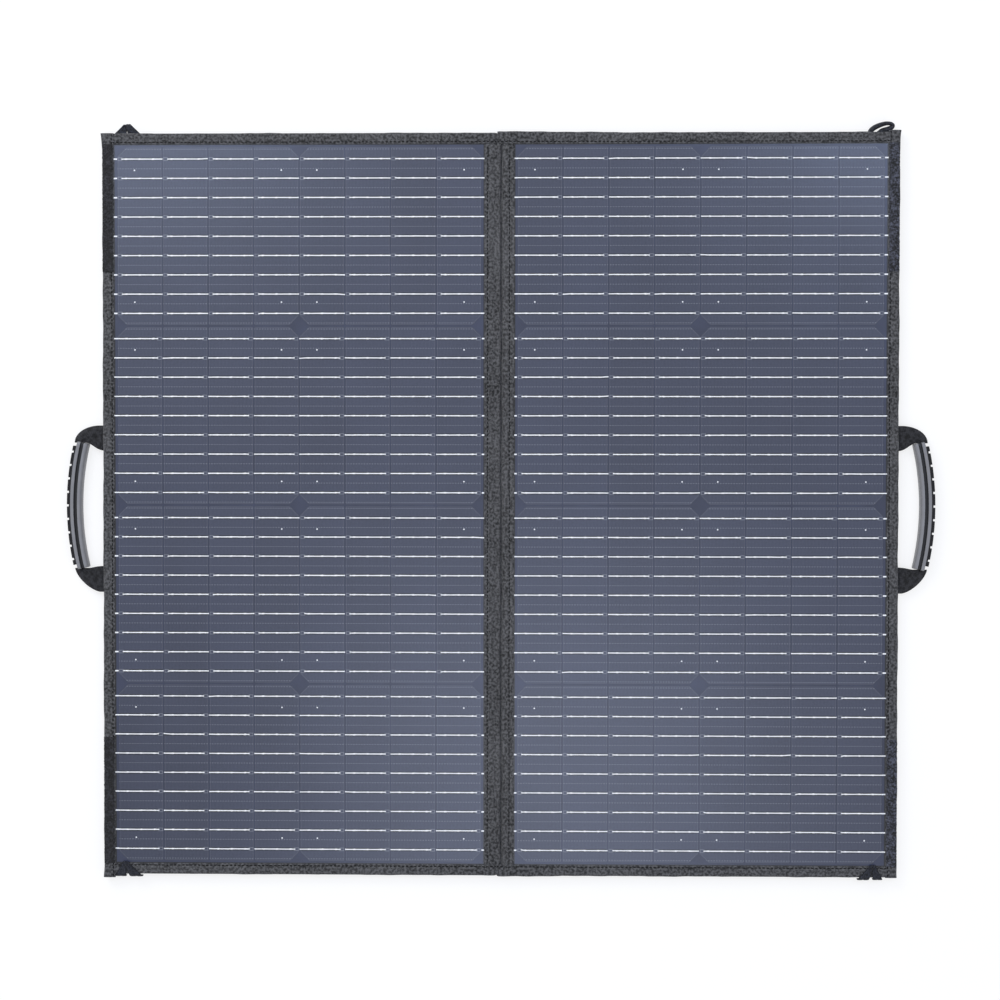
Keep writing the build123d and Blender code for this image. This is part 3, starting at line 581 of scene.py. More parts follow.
def stitches(name, points, ride=None, length=2.4 * MM, radius=0.5 * MM):
    """A run of stitches along a polyline of points: one small capsule every stitch pitch."""
    points = np.asarray(points, float)
    far = np.r_[0, np.cumsum(np.linalg.norm(np.diff(points, axis=0), axis=1))]
    count = max(2, int(far[-1] / STITCH_PITCH))
    at = (np.arange(count) + 0.5) * far[-1] / count
    place = np.stack([np.interp(at, far, points[:, n]) for n in range(3)], -1)
    ahead = np.stack([np.interp(at + 0.5 * MM, far, points[:, n]) for n in range(3)], -1)
    behind = np.stack([np.interp(at - 0.5 * MM, far, points[:, n]) for n in range(3)], -1)
    along = (ahead - behind) / np.linalg.norm(ahead - behind, axis=1, keepdims=True)
    side_way = np.cross(along, (0, 0, 1.0))
    side_way /= np.linalg.norm(side_way, axis=1, keepdims=True)
    up = np.cross(side_way, along)
    turn = np.arange(5) * 2 * np.pi / 5
    step = np.array([-0.5, -0.36, 0.36, 0.5]) * length
    width = np.array([0.35, 1.0, 1.0, 0.35]) * radius
    rings = (place[:, None, None] + step[None, :, None, None] * along[:, None, None]
             + (width[:, None] * np.cos(turn))[None, ..., None] * side_way[:, None, None]
             + (width[:, None] * np.sin(turn))[None, ..., None] * up[:, None, None])
    i, j = np.meshgrid(np.arange(3), np.arange(5), indexing="ij")
    one = np.stack([i * 5 + j, (i + 1) * 5 + j, (i + 1) * 5 + (j + 1) % 5, i * 5 + (j + 1) % 5], -1)
    faces = (one.reshape(-1, 4)[None] + np.arange(count)[:, None, None] * 20).reshape(-1, 4).tolist()
    faces += [[20 * c + k for k in order] for c in range(count)
              for order in ((4, 3, 2, 1, 0), (15, 16, 17, 18, 19))]
    piece = add_piece(name, rings, faces, thread, None, 60)
    if ride:
        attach(piece, ride)
    else:
        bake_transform(piece)
    return piece


def binding_rings(start, end, out, bulge=None, raised=None, proud=0.0, seed=1):
    """Rings of a folded binding from start to end along its inner edge. out is the outward
    direction, bulge the extra width along it, raised the extra height, proud its outset."""
    length = np.linalg.norm(np.subtract(end, start))
    stations = np.unique(np.r_[np.linspace(0, 24 * MM, 17), np.linspace(24 * MM, length - 24 * MM,
                               int(length / (7 * MM))), length - np.linspace(0, 24 * MM, 17)])
    share = (stations / length)[:, None]
    inner = np.asarray(start) * (1 - share) + np.asarray(end) * share
    profile = np.concatenate([BINDING_FACE, BINDING_LINING])
    outside = np.arange(len(profile)) < len(BINDING_FACE)
    middle_z = 7.75 * MM
    wide = profile[:, 0] / BINDING_W
    sway = ripple(stations, seed, (61 * MM, 137 * MM, 23 * MM), 0.45 * MM)
    puff = ripple(stations, seed + 50, (43 * MM, 17 * MM, 90 * MM), 0.30 * MM)
    grow = sway + proud + (0 if bulge is None else bulge(stations))
    a = profile[:, 0][None] + wide[None] ** 2 * grow[:, None] - 0.3 * MM * (proud > 0)
    lift = puff[:, None] * (4 * wide * (1 - wide))[None].clip(0) * outside
    lift = lift + proud * outside[None] * np.minimum(1, 6 * wide)
    if raised is not None:
        lift = lift + raised(stations)[:, None]
    z = profile[:, 1][None] + np.sign(profile[:, 1] - middle_z)[None] * lift
    out = np.asarray(out, float)
    rings = inner[:, None] + a[..., None] * out
    rings[..., 2] = z
    return rings


def add_binding(name, side, rings, blended):
    """A binding piece with its two rows of stitches."""
    vertices, faces, uv = tube(rings)
    piece = add_piece(name, vertices, faces, border_cloth, uv, 50)
    seam = {"front": rings[:, 4] + (0, 0, 0.12 * MM), "back": rings[:, 21] - (0, 0, 0.12 * MM)}
    ride = None if blended else side + "_panel"
    if blended:
        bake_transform(piece)
    else:
        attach(piece, side + "_panel")
    rows = [stitches(f"{name}_{face}_stitches", points, ride) for face, points in seam.items()]
    return piece


border_cloth = woven("polyester_oxford", "#040405", "#6f6f71", 1.05 * MM, 0.6)
thread = thread_material()
CREASE_X = -2.2 * MM           # where the bindings of the two panels meet
SPINE_RAISE = 0.75 * MM        # how much they rise over the spine's cloth
for side, way in SIDES.items():
    meet = way * 0.12 * MM + CREASE_X
    for label, out in (("top", 1.0), ("bottom", -1.0)):
        y = MIDDLE_Y + out * (HALF_Y - BINDING_W - BINDING_TUCK)
        bulge = {("right", "top"): 1.7, ("right", "bottom"): 0.9}.get((side, label), 0.1) * MM
        rings = binding_rings(
            (meet, y, 0), (way * (HALF_X - 1.2 * MM), y, 0), (0, out, 0),
            bulge=lambda s: bulge * np.exp(-s / (70 * MM)),
            raised=lambda s: SPINE_RAISE * np.clip((20 * MM - s) / (8 * MM), 0, 1)
            - 2.6 * MM * np.exp(-s / (1.2 * MM)),
            seed=int(40 + 2 * out + 5 * way))
        piece = add_binding(f"{side}_{label}_binding", side, rings, True)
        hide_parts(side + "_edge_binding")
    top_end = {"left": -0.5, "right": 0.8}[side] * MM
    wrap = {"left": 1.9, "right": 1.2}[side] * MM
    low_end = {"left": 2.6, "right": -0.5}[side] * MM
    length = 2 * HALF_Y + top_end + low_end
    rings = binding_rings(
        (way * (HALF_X - BINDING_W), MIDDLE_Y - HALF_Y - low_end, 0),
        (way * (HALF_X - BINDING_W), MIDDLE_Y + HALF_Y + top_end, 0), (way, 0, 0),
        bulge=lambda s: wrap * np.exp(-(length - s) / (9 * MM)) + 0.6 * MM * np.exp(-s / (9 * MM)),
        proud=0.35 * MM, seed=int(20 + way))
    add_binding(f"{side}_side_binding", side, rings, False)


# --- Spine -------------------------------------------------------------------------------
# Two strips of the same cloth, front and back, sewn down both panels. Between the boards the
# front one sinks into a fold, where the case closes.

SPINE_FACE = np.array([
    (-14, 0.28), (-13.7, 0.68), (-12.6, 0.86), (-11.6, 0.8), (-11, 0.52), (-10.4, 0.82), (-9, 1.05),
    (-7.2, 1.02), (-5.8, 0.55), (-4.6, -0.15), (-3.4, -0.45), (-2.2, -0.3), (-1.2, 0.3), (-0.3, 0.55),
    (0.4, 0.25), (0.9, -0.9), (1.3, -2.2), (1.7, -2.7), (2.1, -2.0), (2.6, -0.6), (3.3, 0.45),
    (4.6, 0.95), (6.6, 1.12), (8.2, 0.98), (8.9, 0.78), (9.4, 0.5), (10.0, 0.82), (11, 1.05),
    (12.4, 0.95), (13.6, 0.72), (14, 0.28)]) * MM
SPINE_T = 0.55 * MM


def spine_strip(label, face, level, way):
    """A spine cloth: profile across by stations along, swaying a little, closed below."""
    low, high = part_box(f"spine_{label}_cover")
    y = np.linspace(low.y + 1.5 * MM, high.y - 1.5 * MM, 180)
    sway = ripple(y, 5 + int(way), (210 * MM, 83 * MM, 37 * MM), 0.5 * MM)
    flat = np.clip((np.abs(y - MIDDLE_Y) - (HALF_Y - 14 * MM)) / (4 * MM), 0, 1)
    puff = 1 + ripple(y, 9, (57 * MM, 29 * MM, 131 * MM), 0.35)
    x = face[:, 0][None] + sway[:, None] * (1 - (face[:, 0] / (14 * MM)) ** 2)[None]
    rise = face[:, 1][None] * (puff * (1 - flat) + 0.35 * flat)[:, None]
    top = np.stack([x, np.broadcast_to(y[:, None], x.shape), level + way * rise], -1)
    under = top[:, ::-1].copy()
    under[..., 2] -= way * SPINE_T
    rings = np.concatenate([top, under[:, 1:-1]], 1)
    vertices, faces, uv = tube(rings)
    piece = add_piece(f"spine_{label}_cloth", vertices, faces, border_cloth, uv, 50)
    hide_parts(f"spine_{label}_cover")
    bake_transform(piece)
    inside = np.abs(y - MIDDLE_Y) < HALF_Y - BINDING_W
    for half, column in (("left", 4), ("right", 25 if label == "front" else len(face) - 5)):
        points = top[inside, column] + (0, 0, way * 0.12 * MM)
        stitches(f"spine_{label}_{half}_stitches", points)


half_back = np.array([(0, 1.25), (3, 1.2), (6, 1.1), (9, 1.0), (10.4, 0.78), (11, 0.5), (11.6, 0.75),
                      (12.6, 0.8), (13.7, 0.65), (14, 0.3)]) * MM
spine_back = np.concatenate([half_back[:0:-1] * (-1, 1), half_back])
spine_strip("front", SPINE_FACE, film_top, 1.0)
spine_strip("back", spine_back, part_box("spine_back_cover")[1].z, -1.0)


# --- Hook and loop tapes -----------------------------------------------------------------
# Woven nylon tapes sewn on the outer borders: moulded hooks on the left, which look black and
# bristly, and brushed loops on the right, greyer and softer. They close the folded case.

def pile_material(name, dark, light, size):
    """Nylon pile seen end on: dark between the fibres and pale where their bends catch light."""
    material, tree, shader = new_material(name, Roughness=0.65, Sheen_Weight=0.2, Specular_IOR_Level=0.4)
    where = add_node(tree, "TexCoord").outputs["Object"]
    fibre = noise(tree, where, size, 4.0, normalize=True)
    clump = noise(tree, where, 3.2 * size, 2.0)
    tuft = stepped(tree, maths(tree, "ADD", maths(tree, "MULTIPLY", fibre, 0.7),
                               maths(tree, "MULTIPLY", clump, 0.3)), 0.40, 0.66)
    tree.links.new(mixed(tree, tuft, colour(dark), colour(light)), shader.inputs["Base Color"])
    bump = add_node(tree, "Bump", {"Strength": 1.0, "Distance": 0.0006, "Height": tuft})
    tree.links.new(bump.outputs[0], shader.inputs["Normal"])
    return material


def pile_pad(name, low, high, material, body, down=False, seed=1):
    """A slab of pile between two corners, its face ragged by about a third of a millimetre."""
    rng = np.random.default_rng(seed)
    x = np.linspace(low[0], high[0], max(6, int((high[0] - low[0]) / (0.8 * MM))))
    y = np.linspace(low[1], high[1], max(6, int((high[1] - low[1]) / (0.8 * MM))))
    gx, gy = np.meshgrid(x, y, indexing="ij")
    ragged = rng.uniform(-0.35, 0.15, gx.shape) * MM
    ragged[[0, -1]] -= 0.35 * MM
    ragged[:, [0, -1]] -= 0.35 * MM
    gx = gx + rng.uniform(-0.2, 0.2, gx.shape) * MM
    gy = gy + rng.uniform(-0.2, 0.2, gx.shape) * MM
    face, back = (low[2] - ragged, high[2]) if down else (high[2] + ragged, low[2])
    piece = add_piece(name, *two_layers(gx, gy, face, back + 0 * gx), material, None, 60)
    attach(piece, body)
    return piece


def two_layers(gx, gy, first, second, keep=None):
    """Closed sheet between two height fields on one grid. keep marks the squares that stay."""
    n, m = gx.shape
    keep = np.ones((n - 1, m - 1), bool) if keep is None else keep
    vertices = np.stack([np.stack([gx, gy, z], -1) for z in (first, second)])
    index = np.arange(n * m).reshape(n, m)
    i, j = np.nonzero(keep)
    square = np.stack([index[i, j], index[i + 1, j], index[i + 1, j + 1], index[i, j + 1]], -1)
    faces = [square, square[:, ::-1] + n * m]
    pad = np.pad(keep, 1)
    for di, dj, a, b in ((-1, 0, 0, 3), (1, 0, 1, 2), (0, -1, 0, 1), (0, 1, 3, 2)):
        rim = keep & ~pad[1 + di:n + di, 1 + dj:m + dj]
        i, j = np.nonzero(rim)
        corner = np.stack([index[i, j], index[i + 1, j], index[i + 1, j + 1], index[i, j + 1]], -1)
        faces.append(np.stack([corner[:, a], corner[:, b], corner[:, b] + n * m, corner[:, a] + n * m], -1))
    faces = np.concatenate(faces)
    used, compact = np.unique(faces, return_inverse=True)
    return vertices.reshape(-1, 3)[used], compact.reshape(-1, 4)


def flat_map(vertices, faces):
    """A map in metres, straight down onto a flat cloth."""
    return np.concatenate([np.asarray(vertices).reshape(-1, 3)[np.asarray(f), :2] for f in faces])


TAPE_L = 119 * MM
hook_pile = pile_material("nylon_hooks", "#000001", "#303036", 1.7 * MM)
loop_pile = pile_material("nylon_loops", "#06070a", "#575a68", 1.7 * MM)
for side, kind, pile in (("left", "hook", hook_pile), ("right", "loop", loop_pile)):
    low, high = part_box(f"{side}_{kind}_tapes")
    for n, (y0, y1) in enumerate(((low.y, low.y + TAPE_L), (high.y - TAPE_L, high.y))):
        piece = pile_pad(f"{side}_{kind}_tape_{n}", (low.x, y0, low.z), (high.x, y1, high.z - 0.5 * MM),
                         pile, side + "_panel", seed=60 + n)
        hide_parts(f"{side}_{kind}_tapes")


# --- Carrying handles --------------------------------------------------------------------
# Polypropylene webbing runs through a bowed grip moulded in grey plastic, with a groove along
# it and a strip of black rubber, notched across, on its outside.

strip_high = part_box("right_handle_ribbed_strip")[1]
grip_low, grip_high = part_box("right_handle_grip")
BOW_R = 262 * MM               # radius of the strip's outer face
BOW_X = strip_high.x - BOW_R
GRIP_HALF, RIB_HALF = 61.4 * MM, 56.5 * MM
SEAT_R = 258.85 * MM           # where the strip sits on the grip
NOTCH_PITCH, NOTCH_DEPTH = 12.7 * MM, 1.7 * MM
GRIP_MID_Z = (grip_low.z + grip_high.z) / 2
HANDLE_Y = MIDDLE_Y - 0.4 * MM
GRIP_FACE = np.array([
    (248.4, 0), (248.4, 2.6), (248.6, 4.0), (249.1, 5.2), (249.9, 6.0), (250.9, 6.42), (252.2, 6.5),
    (252.5, 6.3), (252.65, 4.6), (253.0, 4.3), (255.2, 4.3), (255.55, 4.6), (255.7, 6.25), (256.0, 6.5),
    (258.4, 6.5), (258.8, 6.2), (258.9, 5.5), (258.9, 0)]) * MM
RIB_FACE = np.array([(258.85, 6.2), (261.2, 6.35), (261.8, 5.9), (262.0, 5.2), (262.0, 0)]) * MM


def both_halves(face):
    """A profile and its mirror image behind, as one closed outline."""
    back = face[::-1][face[::-1][:, 1] > 0] * (1, -1)
    return np.concatenate([face, back])


def bowed(profile, y, way, shrink=None):
    """Rings of a profile (radius, height) swept along the bow of the grip to each height y."""
    turn = y / BOW_R
    size = np.ones(len(y)) if shrink is None else shrink
    middle = profile.mean(0)
    r = middle[0] + (profile[:, 0] - middle[0])[None] * size[:, None]
    z = GRIP_MID_Z + profile[:, 1][None] * size[:, None]
    x = way * (BOW_X + r * np.cos(turn)[:, None])
    return np.stack([x, HANDLE_Y + r * np.sin(turn)[:, None], z], -1)


def grip_material():
    """Moulded polypropylene: mid grey, spark-eroded texture, a soft highlight along its bow, and
    painted shade, near black, in its groove.
    """
    material, tree, shader = new_material("moulded_grip_plastic", Roughness=0.42, Specular_IOR_Level=0.5)
    where = add_node(tree, "TexCoord").outputs["Object"]
    cloud = noise(tree, where, 14 * MM, 2.0)
    groove = add_node(tree, "Attribute", attribute_name="groove").outputs["Fac"]
    base = mixed(tree, cloud, colour("#77777a"), colour("#8c8c8f"))
    # Painted shade: the groove's faces are coloured near black.
    tree.links.new(mixed(tree, groove, base, colour("#050505")), shader.inputs["Base Color"])
    eroded = noise(tree, where, 0.5 * MM, 3.0)
    bump = add_node(tree, "Bump", {"Strength": 0.35, "Distance": 0.0001, "Height": eroded})
    tree.links.new(bump.outputs[0], shader.inputs["Normal"])
    return material


def rubber_material():
    """Black thermoplastic rubber: matt, very dark, a little dusty in patches."""
    material, tree, shader = new_material("black_rubber", Roughness=0.75, Specular_IOR_Level=0.3)
    where = add_node(tree, "TexCoord").outputs["Object"]
    dust = noise(tree, where, 2.5 * MM, 4.0)
    tree.links.new(mixed(tree, dust, colour("#0b0b0c"), colour("#262628")), shader.inputs["Base Color"])
    bump = add_node(tree, "Bump", {"Strength": 0.4, "Distance": 0.0002, "Height": dust})
    tree.links.new(bump.outputs[0], shader.inputs["Normal"])
    return material


def ruled(near, far, thickness, crease=0.0, across=9):
    """Rings of a flat strap between two edge curves, (n, 3) each. Its faces are crowned by a
    third of its thickness and dip by crease along its middle."""
    s = np.linspace(0, 1, across)
    crown = np.sqrt(np.clip(1 - (2 * s - 1) ** 6, 0, 1)) * 0.5
    dip = crease * np.exp(-((s - 0.5) / 0.07) ** 2)
    flat = near[:, None] * (1 - s)[None, :, None] + far[:, None] * s[None, :, None]
    thick = np.broadcast_to(np.asarray(thickness, float), (len(near),))
    along = np.gradient(flat[:, across // 2], axis=0)
    over = far - near
    normal = np.cross(along, over)
    normal /= np.linalg.norm(normal, axis=1, keepdims=True)
    normal *= np.where(normal[:, 2:] < 0, -1, 1)
    rise = thick[:, None] * np.maximum(crown, 0.12)[None] - dip[None]
    upper = flat + rise[..., None] * normal[:, None]
    lower = flat - (thick[:, None] * np.maximum(crown, 0.12)[None])[..., None] * normal[:, None]
    return np.concatenate([upper, lower[:, ::-1]], 1)


def webbing_tab(side, way_y, low, high, roundness):
    """One end of the webbing, from inside the binding to the grip's end, low to high from the
    handle's middle. Its outer edge is a superellipse quarter of that roundness, 2 for a circle."""
    way = SIDES[side]
    root, x_in = HALF_X - 1.0 * MM, grip_low.x - 0.2 * MM
    x_out = grip_high.x - 3.5 * MM
    turn = 59.0 * MM
    t = np.linspace(0, 1, 26)
    phi = np.clip((t - 0.22) / 0.78, 0, 1) * np.pi / 2
    start = root + 4.5 * MM
    near = np.stack([root + (x_in + 1.5 * MM - root) * t, low + (turn - low) * t ** 2, 0 * t], -1)
    far_x = np.where(t < 0.22, root + (start - root) * t / 0.22,
                     start + (x_out - start) * np.sin(phi) ** (2 / roundness))
    far = np.stack([far_x, turn + (high - turn) * np.cos(phi) ** (2 / roundness), 0 * t], -1)
    for edge in (near, far):
        edge *= (way, way_y, 1)
        edge += (0, HANDLE_Y, GRIP_MID_Z + 0.6 * MM)
    near[:, 2] += 0.5 * MM * np.sin(np.pi * t)
    piece_rings = ruled(near, far, 2.3 * MM + 1.6 * MM * t ** 2, 0.9 * MM, 15)
    name = f"{side}_{'upper' if way_y > 0 else 'lower'}_webbing_tab"
    vertices, faces, uv = tube(piece_rings)
    piece = add_piece(name, vertices, faces, webbing_cloth, uv, 60)
    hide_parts(side + "_handle_webbing")
    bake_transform(piece)


grip_plastic, rubber = grip_material(), rubber_material()
webbing_cloth = woven("polypropylene_webbing", "#000001", "#3a3a3e", 1.5 * MM, 0.5, 0.6, 0.05)
for side, way in SIDES.items():
    y = np.concatenate([[-GRIP_HALF, -GRIP_HALF + 0.3 * MM], np.linspace(-GRIP_HALF + MM, GRIP_HALF - MM, 43),
                        [GRIP_HALF - 0.3 * MM, GRIP_HALF]])
    shrink = np.ones(len(y))
    shrink[[0, 1, -2, -1]] = 0.86, 0.95, 0.95, 0.86
    vertices, faces, uv = tube(bowed(both_halves(GRIP_FACE), y, way, shrink))
    radius = both_halves(GRIP_FACE)[:, 0]
    # The groove's faces, which get the painted shade.
    groove = (radius > 252.45 * MM) & (radius < 255.6 * MM)
    grip = add_piece(side + "_handle_grip_moulding", vertices, faces, grip_plastic, uv, 35,
                     groove=np.broadcast_to(groove, (len(y), len(radius))))
    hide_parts(side + "_handle_grip")
    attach(grip, side + "_handle")
    notch = (np.arange(9) - 4) * NOTCH_PITCH
    edges = np.sort(np.concatenate([notch + d * MM for d in (-1.25, -0.95, 0.95, 1.25)]))
    y = np.concatenate([[-RIB_HALF], edges, [RIB_HALF]])
    y = np.sort(np.concatenate([y, (y[1:] + y[:-1]) / 2]))
    cut = np.abs((y + NOTCH_PITCH / 2) % NOTCH_PITCH - NOTCH_PITCH / 2) < 1.0 * MM
    rings = bowed(both_halves(RIB_FACE), y, way)
    rings[cut, :, 0] -= way * NOTCH_DEPTH
    seat = BOW_X + SEAT_R * np.cos(y / BOW_R)
    rings[..., 0] = way * np.maximum(way * rings[..., 0], seat[:, None])
    vertices, faces, uv = tube(rings)
    ribs = add_piece(side + "_notched_strip", vertices, faces, rubber, uv, 30)
    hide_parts(side + "_handle_ribbed_strip")
    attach(ribs, side + "_handle")
    webbing_tab(side, 1.0, 51.4 * MM, 75.0 * MM, 2.0)
    webbing_tab(side, -1.0, 57.0 * MM, 81.4 * MM, 1.5)


# --- Corner loops ------------------------------------------------------------------------
# Satin-woven polyester ribbon, doubled and folded into a loop at each corner. The top pair
# stands out past the edge and the bottom pair lies turned over onto the border.

def loop_leg(name, feet, apex, z_path, y_path, body, thickness=0.75 * MM, crease=0.0):
    """One leg of a loop: a ribbon from its foot, x from feet[0] to feet[1], to its apex."""
    t = np.linspace(0, 1, 22)
    at = np.linspace(0, 1, len(y_path))
    y, z = np.interp(t, at, y_path), np.interp(t, at, z_path)
    share = np.clip((y - y_path[0]) / (y_path[-1] - y_path[0]), 0, 1)
    near = np.stack([feet[0] + (apex[0] - feet[0]) * share, y, z], -1)
    far = np.stack([feet[1] + (apex[1] - feet[1]) * share, y, z], -1)
    rings = ruled(near, far, thickness, crease, 17)
    vertices, faces, uv = tube(rings)
    # Painted shade, strongest at both edges of the ribbon.
    across = np.abs(np.linspace(-1, 1, 17)) ** 9
    selvedge = np.broadcast_to(np.r_[across, across[::-1]], rings.shape[:2])
    piece = add_piece(name, vertices, faces, ribbon_cloth, uv, 60, selvedge=selvedge)
    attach(piece, body)
    return piece


# Painted shade: the ribbon darkens towards its two edges, as the shadow round each leg.
ribbon_cloth = woven("satin_ribbon", "#010103", "#3c404d", 1.0 * MM, 0.45, 0.30, 0.05)
tree = ribbon_cloth.node_tree
shader = tree.nodes["Principled BSDF"]
selvedge = add_node(tree, "Attribute", attribute_name="selvedge").outputs["Fac"]
body_tone = shader.inputs["Base Color"].links[0].from_socket
tree.links.new(mixed(tree, selvedge, body_tone, colour("#020203")), shader.inputs["Base Color"])
top_y = MIDDLE_Y + HALF_Y
bottom_y = MIDDLE_Y - HALF_Y

# The left top loop stands up with one leg over the other.
low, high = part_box("left_top_loop")
middle, z0 = (low.x + high.x) / 2 + 1.4 * MM, (low.z + high.z) / 2
rise = np.array([-2.5, 2.0, 6.0, 8.2]) * MM + top_y
under = loop_leg("left_top_loop_under", (middle - 14.6 * MM, middle - 1.1 * MM),
                 (middle - 3.8 * MM, middle - 0.2 * MM), z0 + np.array([-0.6, -1.4, -1.5, -0.8]) * MM, rise,
                 "left_top_loop_ribbon", 0.9 * MM, 0.3 * MM)
over = loop_leg("left_top_loop_over", (middle + 0.6 * MM, middle + 14.4 * MM),
                (middle - 0.9 * MM, middle + 3.2 * MM), z0 + np.array([0.6, 1.7, 1.9, 0.8]) * MM, rise,
                "left_top_loop_ribbon", 0.9 * MM, 0.3 * MM)
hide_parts("left_top_loop")

# The right one has twisted over to the side, so it is seen on edge, round an open eye.
low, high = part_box("right_top_loop")
middle, z0 = (low.x + high.x) / 2, (low.z + high.z) / 2
bend = np.array([(-6.5, -1.8), (-5.2, 1.0), (-1.5, 3.8), (3.5, 6.0), (8.5, 7.4), (13, 7.3), (15.2, 5.9),
                 (14.9, 4.2), (12.6, 2.7), (9.2, 1.6), (5, 0.8), (1.5, -1.8)]) * MM
knots = np.arange(len(bend))
fine = np.linspace(0, len(bend) - 1, 67)
path = np.stack([np.interp(fine, knots, bend[:, n]) for n in (0, 1)], -1)
for n in range(6):
    path[1:-1] = (path[:-2] + 2 * path[1:-1] + path[2:]) / 4
ahead = np.gradient(path, axis=0)
ahead /= np.linalg.norm(ahead, axis=1, keepdims=True)
turn = np.arange(14) * 2 * np.pi / 14
half_wide = (2.1 + 0.3 * np.sin(fine * 0.9))[:, None] * MM * np.cos(turn)[None]
rings = np.stack([middle + path[:, :1] + half_wide * -ahead[:, 1:],
                  top_y + path[:, 1:] + half_wide * ahead[:, :1],
                  z0 + 0.8 * MM + 2.4 * MM * np.sin(turn)[None] + 0 * half_wide], -1)
vertices, faces, uv = tube(rings)
# Painted shade, darker on two sides of the twisted band's round.
twisted = add_piece("right_top_loop_twisted", vertices, faces, ribbon_cloth, uv, 60,
                    selvedge=np.broadcast_to(0.35 + 0.35 * np.cos(2 * turn + 0.6), rings.shape[:2]))
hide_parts("right_top_loop")
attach(twisted, "right_top_loop_ribbon")

# Both bottom loops are folded over the border, a wide leg and a narrow one on edge.
for side, way in SIDES.items():
    low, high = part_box(side + "_bottom_loop")
    shift, spread = {"left": (1.8 * MM, 13 * MM), "right": (-3.4 * MM, 11.8 * MM)}[side]
    middle = (low.x + high.x) / 2 + shift
    tip = middle + way * 3.2 * MM
    body = side + "_bottom_loop_ribbon"
    fold_y = bottom_y + np.array([-0.9, -1.4, -0.3, 5, 12.6]) * MM
    inner = -way
    wide = sorted((middle + inner * 0.8 * MM, middle + inner * spread))
    thin = sorted((middle - inner * 2.6 * MM, middle - inner * spread))
    over = loop_leg(f"{side}_bottom_loop_wide", wide, (tip - 2.4 * MM, tip + 2.4 * MM),
                    np.array([8.0, 11.3, 12.6, 12.9, 13.1]) * MM, fold_y, body, 1.0 * MM, 0.35 * MM)
    under = loop_leg(f"{side}_bottom_loop_thin", thin, (tip - 2.0 * MM, tip + 1.6 * MM),
                     np.array([7.6, 10.9, 12.3, 12.5, 12.6]) * MM, fold_y, body, 0.9 * MM, 0.2 * MM)
    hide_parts(side + "_bottom_loop")


# --- Back covers -------------------------------------------------------------------------
# The same polyester over the stiffener boards, cut out round the junction boxes and, on the
# left, beside the gland. It is laid with a little slack, so it is not quite flat.

def back_cover(side):
    """One panel's back cloth, on a grid whose lines follow the cut-out."""
    way = SIDES[side]
    low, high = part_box(side + "_back_cover")
    box_low, box_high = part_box(side + "_junction_box_base")
    x_cuts = [box_low.x - MM, box_high.x + MM]
    y_cuts = [box_low.y - MM, box_high.y + MM]
    holes = [(x_cuts[0], x_cuts[1], y_cuts[0], y_cuts[1])]
    if side == "left":
        gland_low, gland_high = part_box("outlet_gland")
        gland = (gland_low.x + gland_high.x) / 2
        holes.append((gland - 8 * MM, gland + 8 * MM, box_low.y - 30 * MM, y_cuts[0]))
    x_lines = np.r_[np.linspace(low.x, high.x, 60), [hole[n] for hole in holes for n in (0, 1)]]
    y_lines = np.r_[np.linspace(low.y, high.y, 110), [hole[n] for hole in holes for n in (2, 3)]]
    gx, gy = np.meshgrid(np.unique(np.round(x_lines, 6)), np.unique(np.round(y_lines, 6)), indexing="ij")
    cx, cy = [(g[1:, 1:] + g[:-1, :-1]) / 2 for g in (gx, gy)]
    keep = np.ones(cx.shape, bool)
    for x0, x1, y0, y1 in holes:
        keep &= ~((cx > x0) & (cx < x1) & (cy > y0) & (cy < y1))
    slack = 0.28 * MM * np.sin(gx / 0.031 + 2 * np.sin(gy / 0.09)) * np.sin(gy / 0.043 + way)
    slack += 0.15 * MM * np.sin((gx + gy) / 0.013)
    edge = np.minimum(np.minimum(gx - low.x, high.x - gx), np.minimum(gy - low.y, high.y - gy))
    slack *= np.clip(edge / (20 * MM), 0, 1)
    vertices, faces = two_layers(gx, gy, low.z + 0.25 * MM + slack, high.z + 0 * gx, keep)
    piece = add_piece(side + "_back_cloth", vertices, faces, border_cloth, flat_map(vertices, faces), 50)
    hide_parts(side + "_back_cover")
    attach(piece, side + "_panel")


for side in SIDES:
    back_cover(side)


# --- Kickstands --------------------------------------------------------------------------
# A thin board in a sewn cloth cover swings out from each back on a hinge tape, and a small
# hook-and-loop patch keeps it shut.

def rounded_outline(x0, x1, y0, y1, radius, points=10):
    """A rectangle's outline with its two lower corners rounded, anticlockwise."""
    turn = np.linspace(0, np.pi / 2, points)
    right = np.stack([x1 - radius + radius * np.sin(turn), y0 + radius - radius * np.cos(turn)], -1)
    left = np.stack([x0 + radius - radius * np.cos(turn), y0 + radius - radius * np.sin(turn)], -1)
    ends = np.array([(x1, y0 + (y1 - y0) * 0.35), (x1, y0 + (y1 - y0) * 0.7), (x1, y1), (x0, y1),
                     (x0, y0 + (y1 - y0) * 0.7), (x0, y0 + (y1 - y0) * 0.35)])
    return np.concatenate([right, ends, left])


def kickstand(side):
    """The covered board: rings of one outline, drawn in towards both faces for a soft edge."""
    low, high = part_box(side + "_kickstand_cover")
    middle_z = (low.z + high.z) / 2
    rings = []
    soft_edge = [(6, 1.42), (3.2, 1.30), (2.5, 1.38), (1.2, 1.5), (0.4, 1.25), (0, 0.5)]
    for inset, height in [(a, -b) for a, b in soft_edge] + soft_edge[::-1]:
        outline = rounded_outline(low.x + inset * MM, high.x - inset * MM, low.y + inset * MM,
                                  high.y - inset * MM, (18 - inset) * MM)
        rings.append(np.column_stack([outline, np.full(len(outline), middle_z + height * 1.05 * MM)]))
    rings = np.array(rings)
    vertices, faces = tube(rings)[:2]
    piece = add_piece(side + "_kickstand_cloth", vertices, faces, border_cloth, flat_map(vertices, faces), 50)
    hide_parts(side + "_kickstand_cover")
    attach(piece, side + "_kickstand")
    seam = np.concatenate([rings[1], rings[1][:1]])
    stitches(side + "_kickstand_stitches", seam + (0, 0, 0.05 * MM), side + "_kickstand", radius=0.3 * MM)


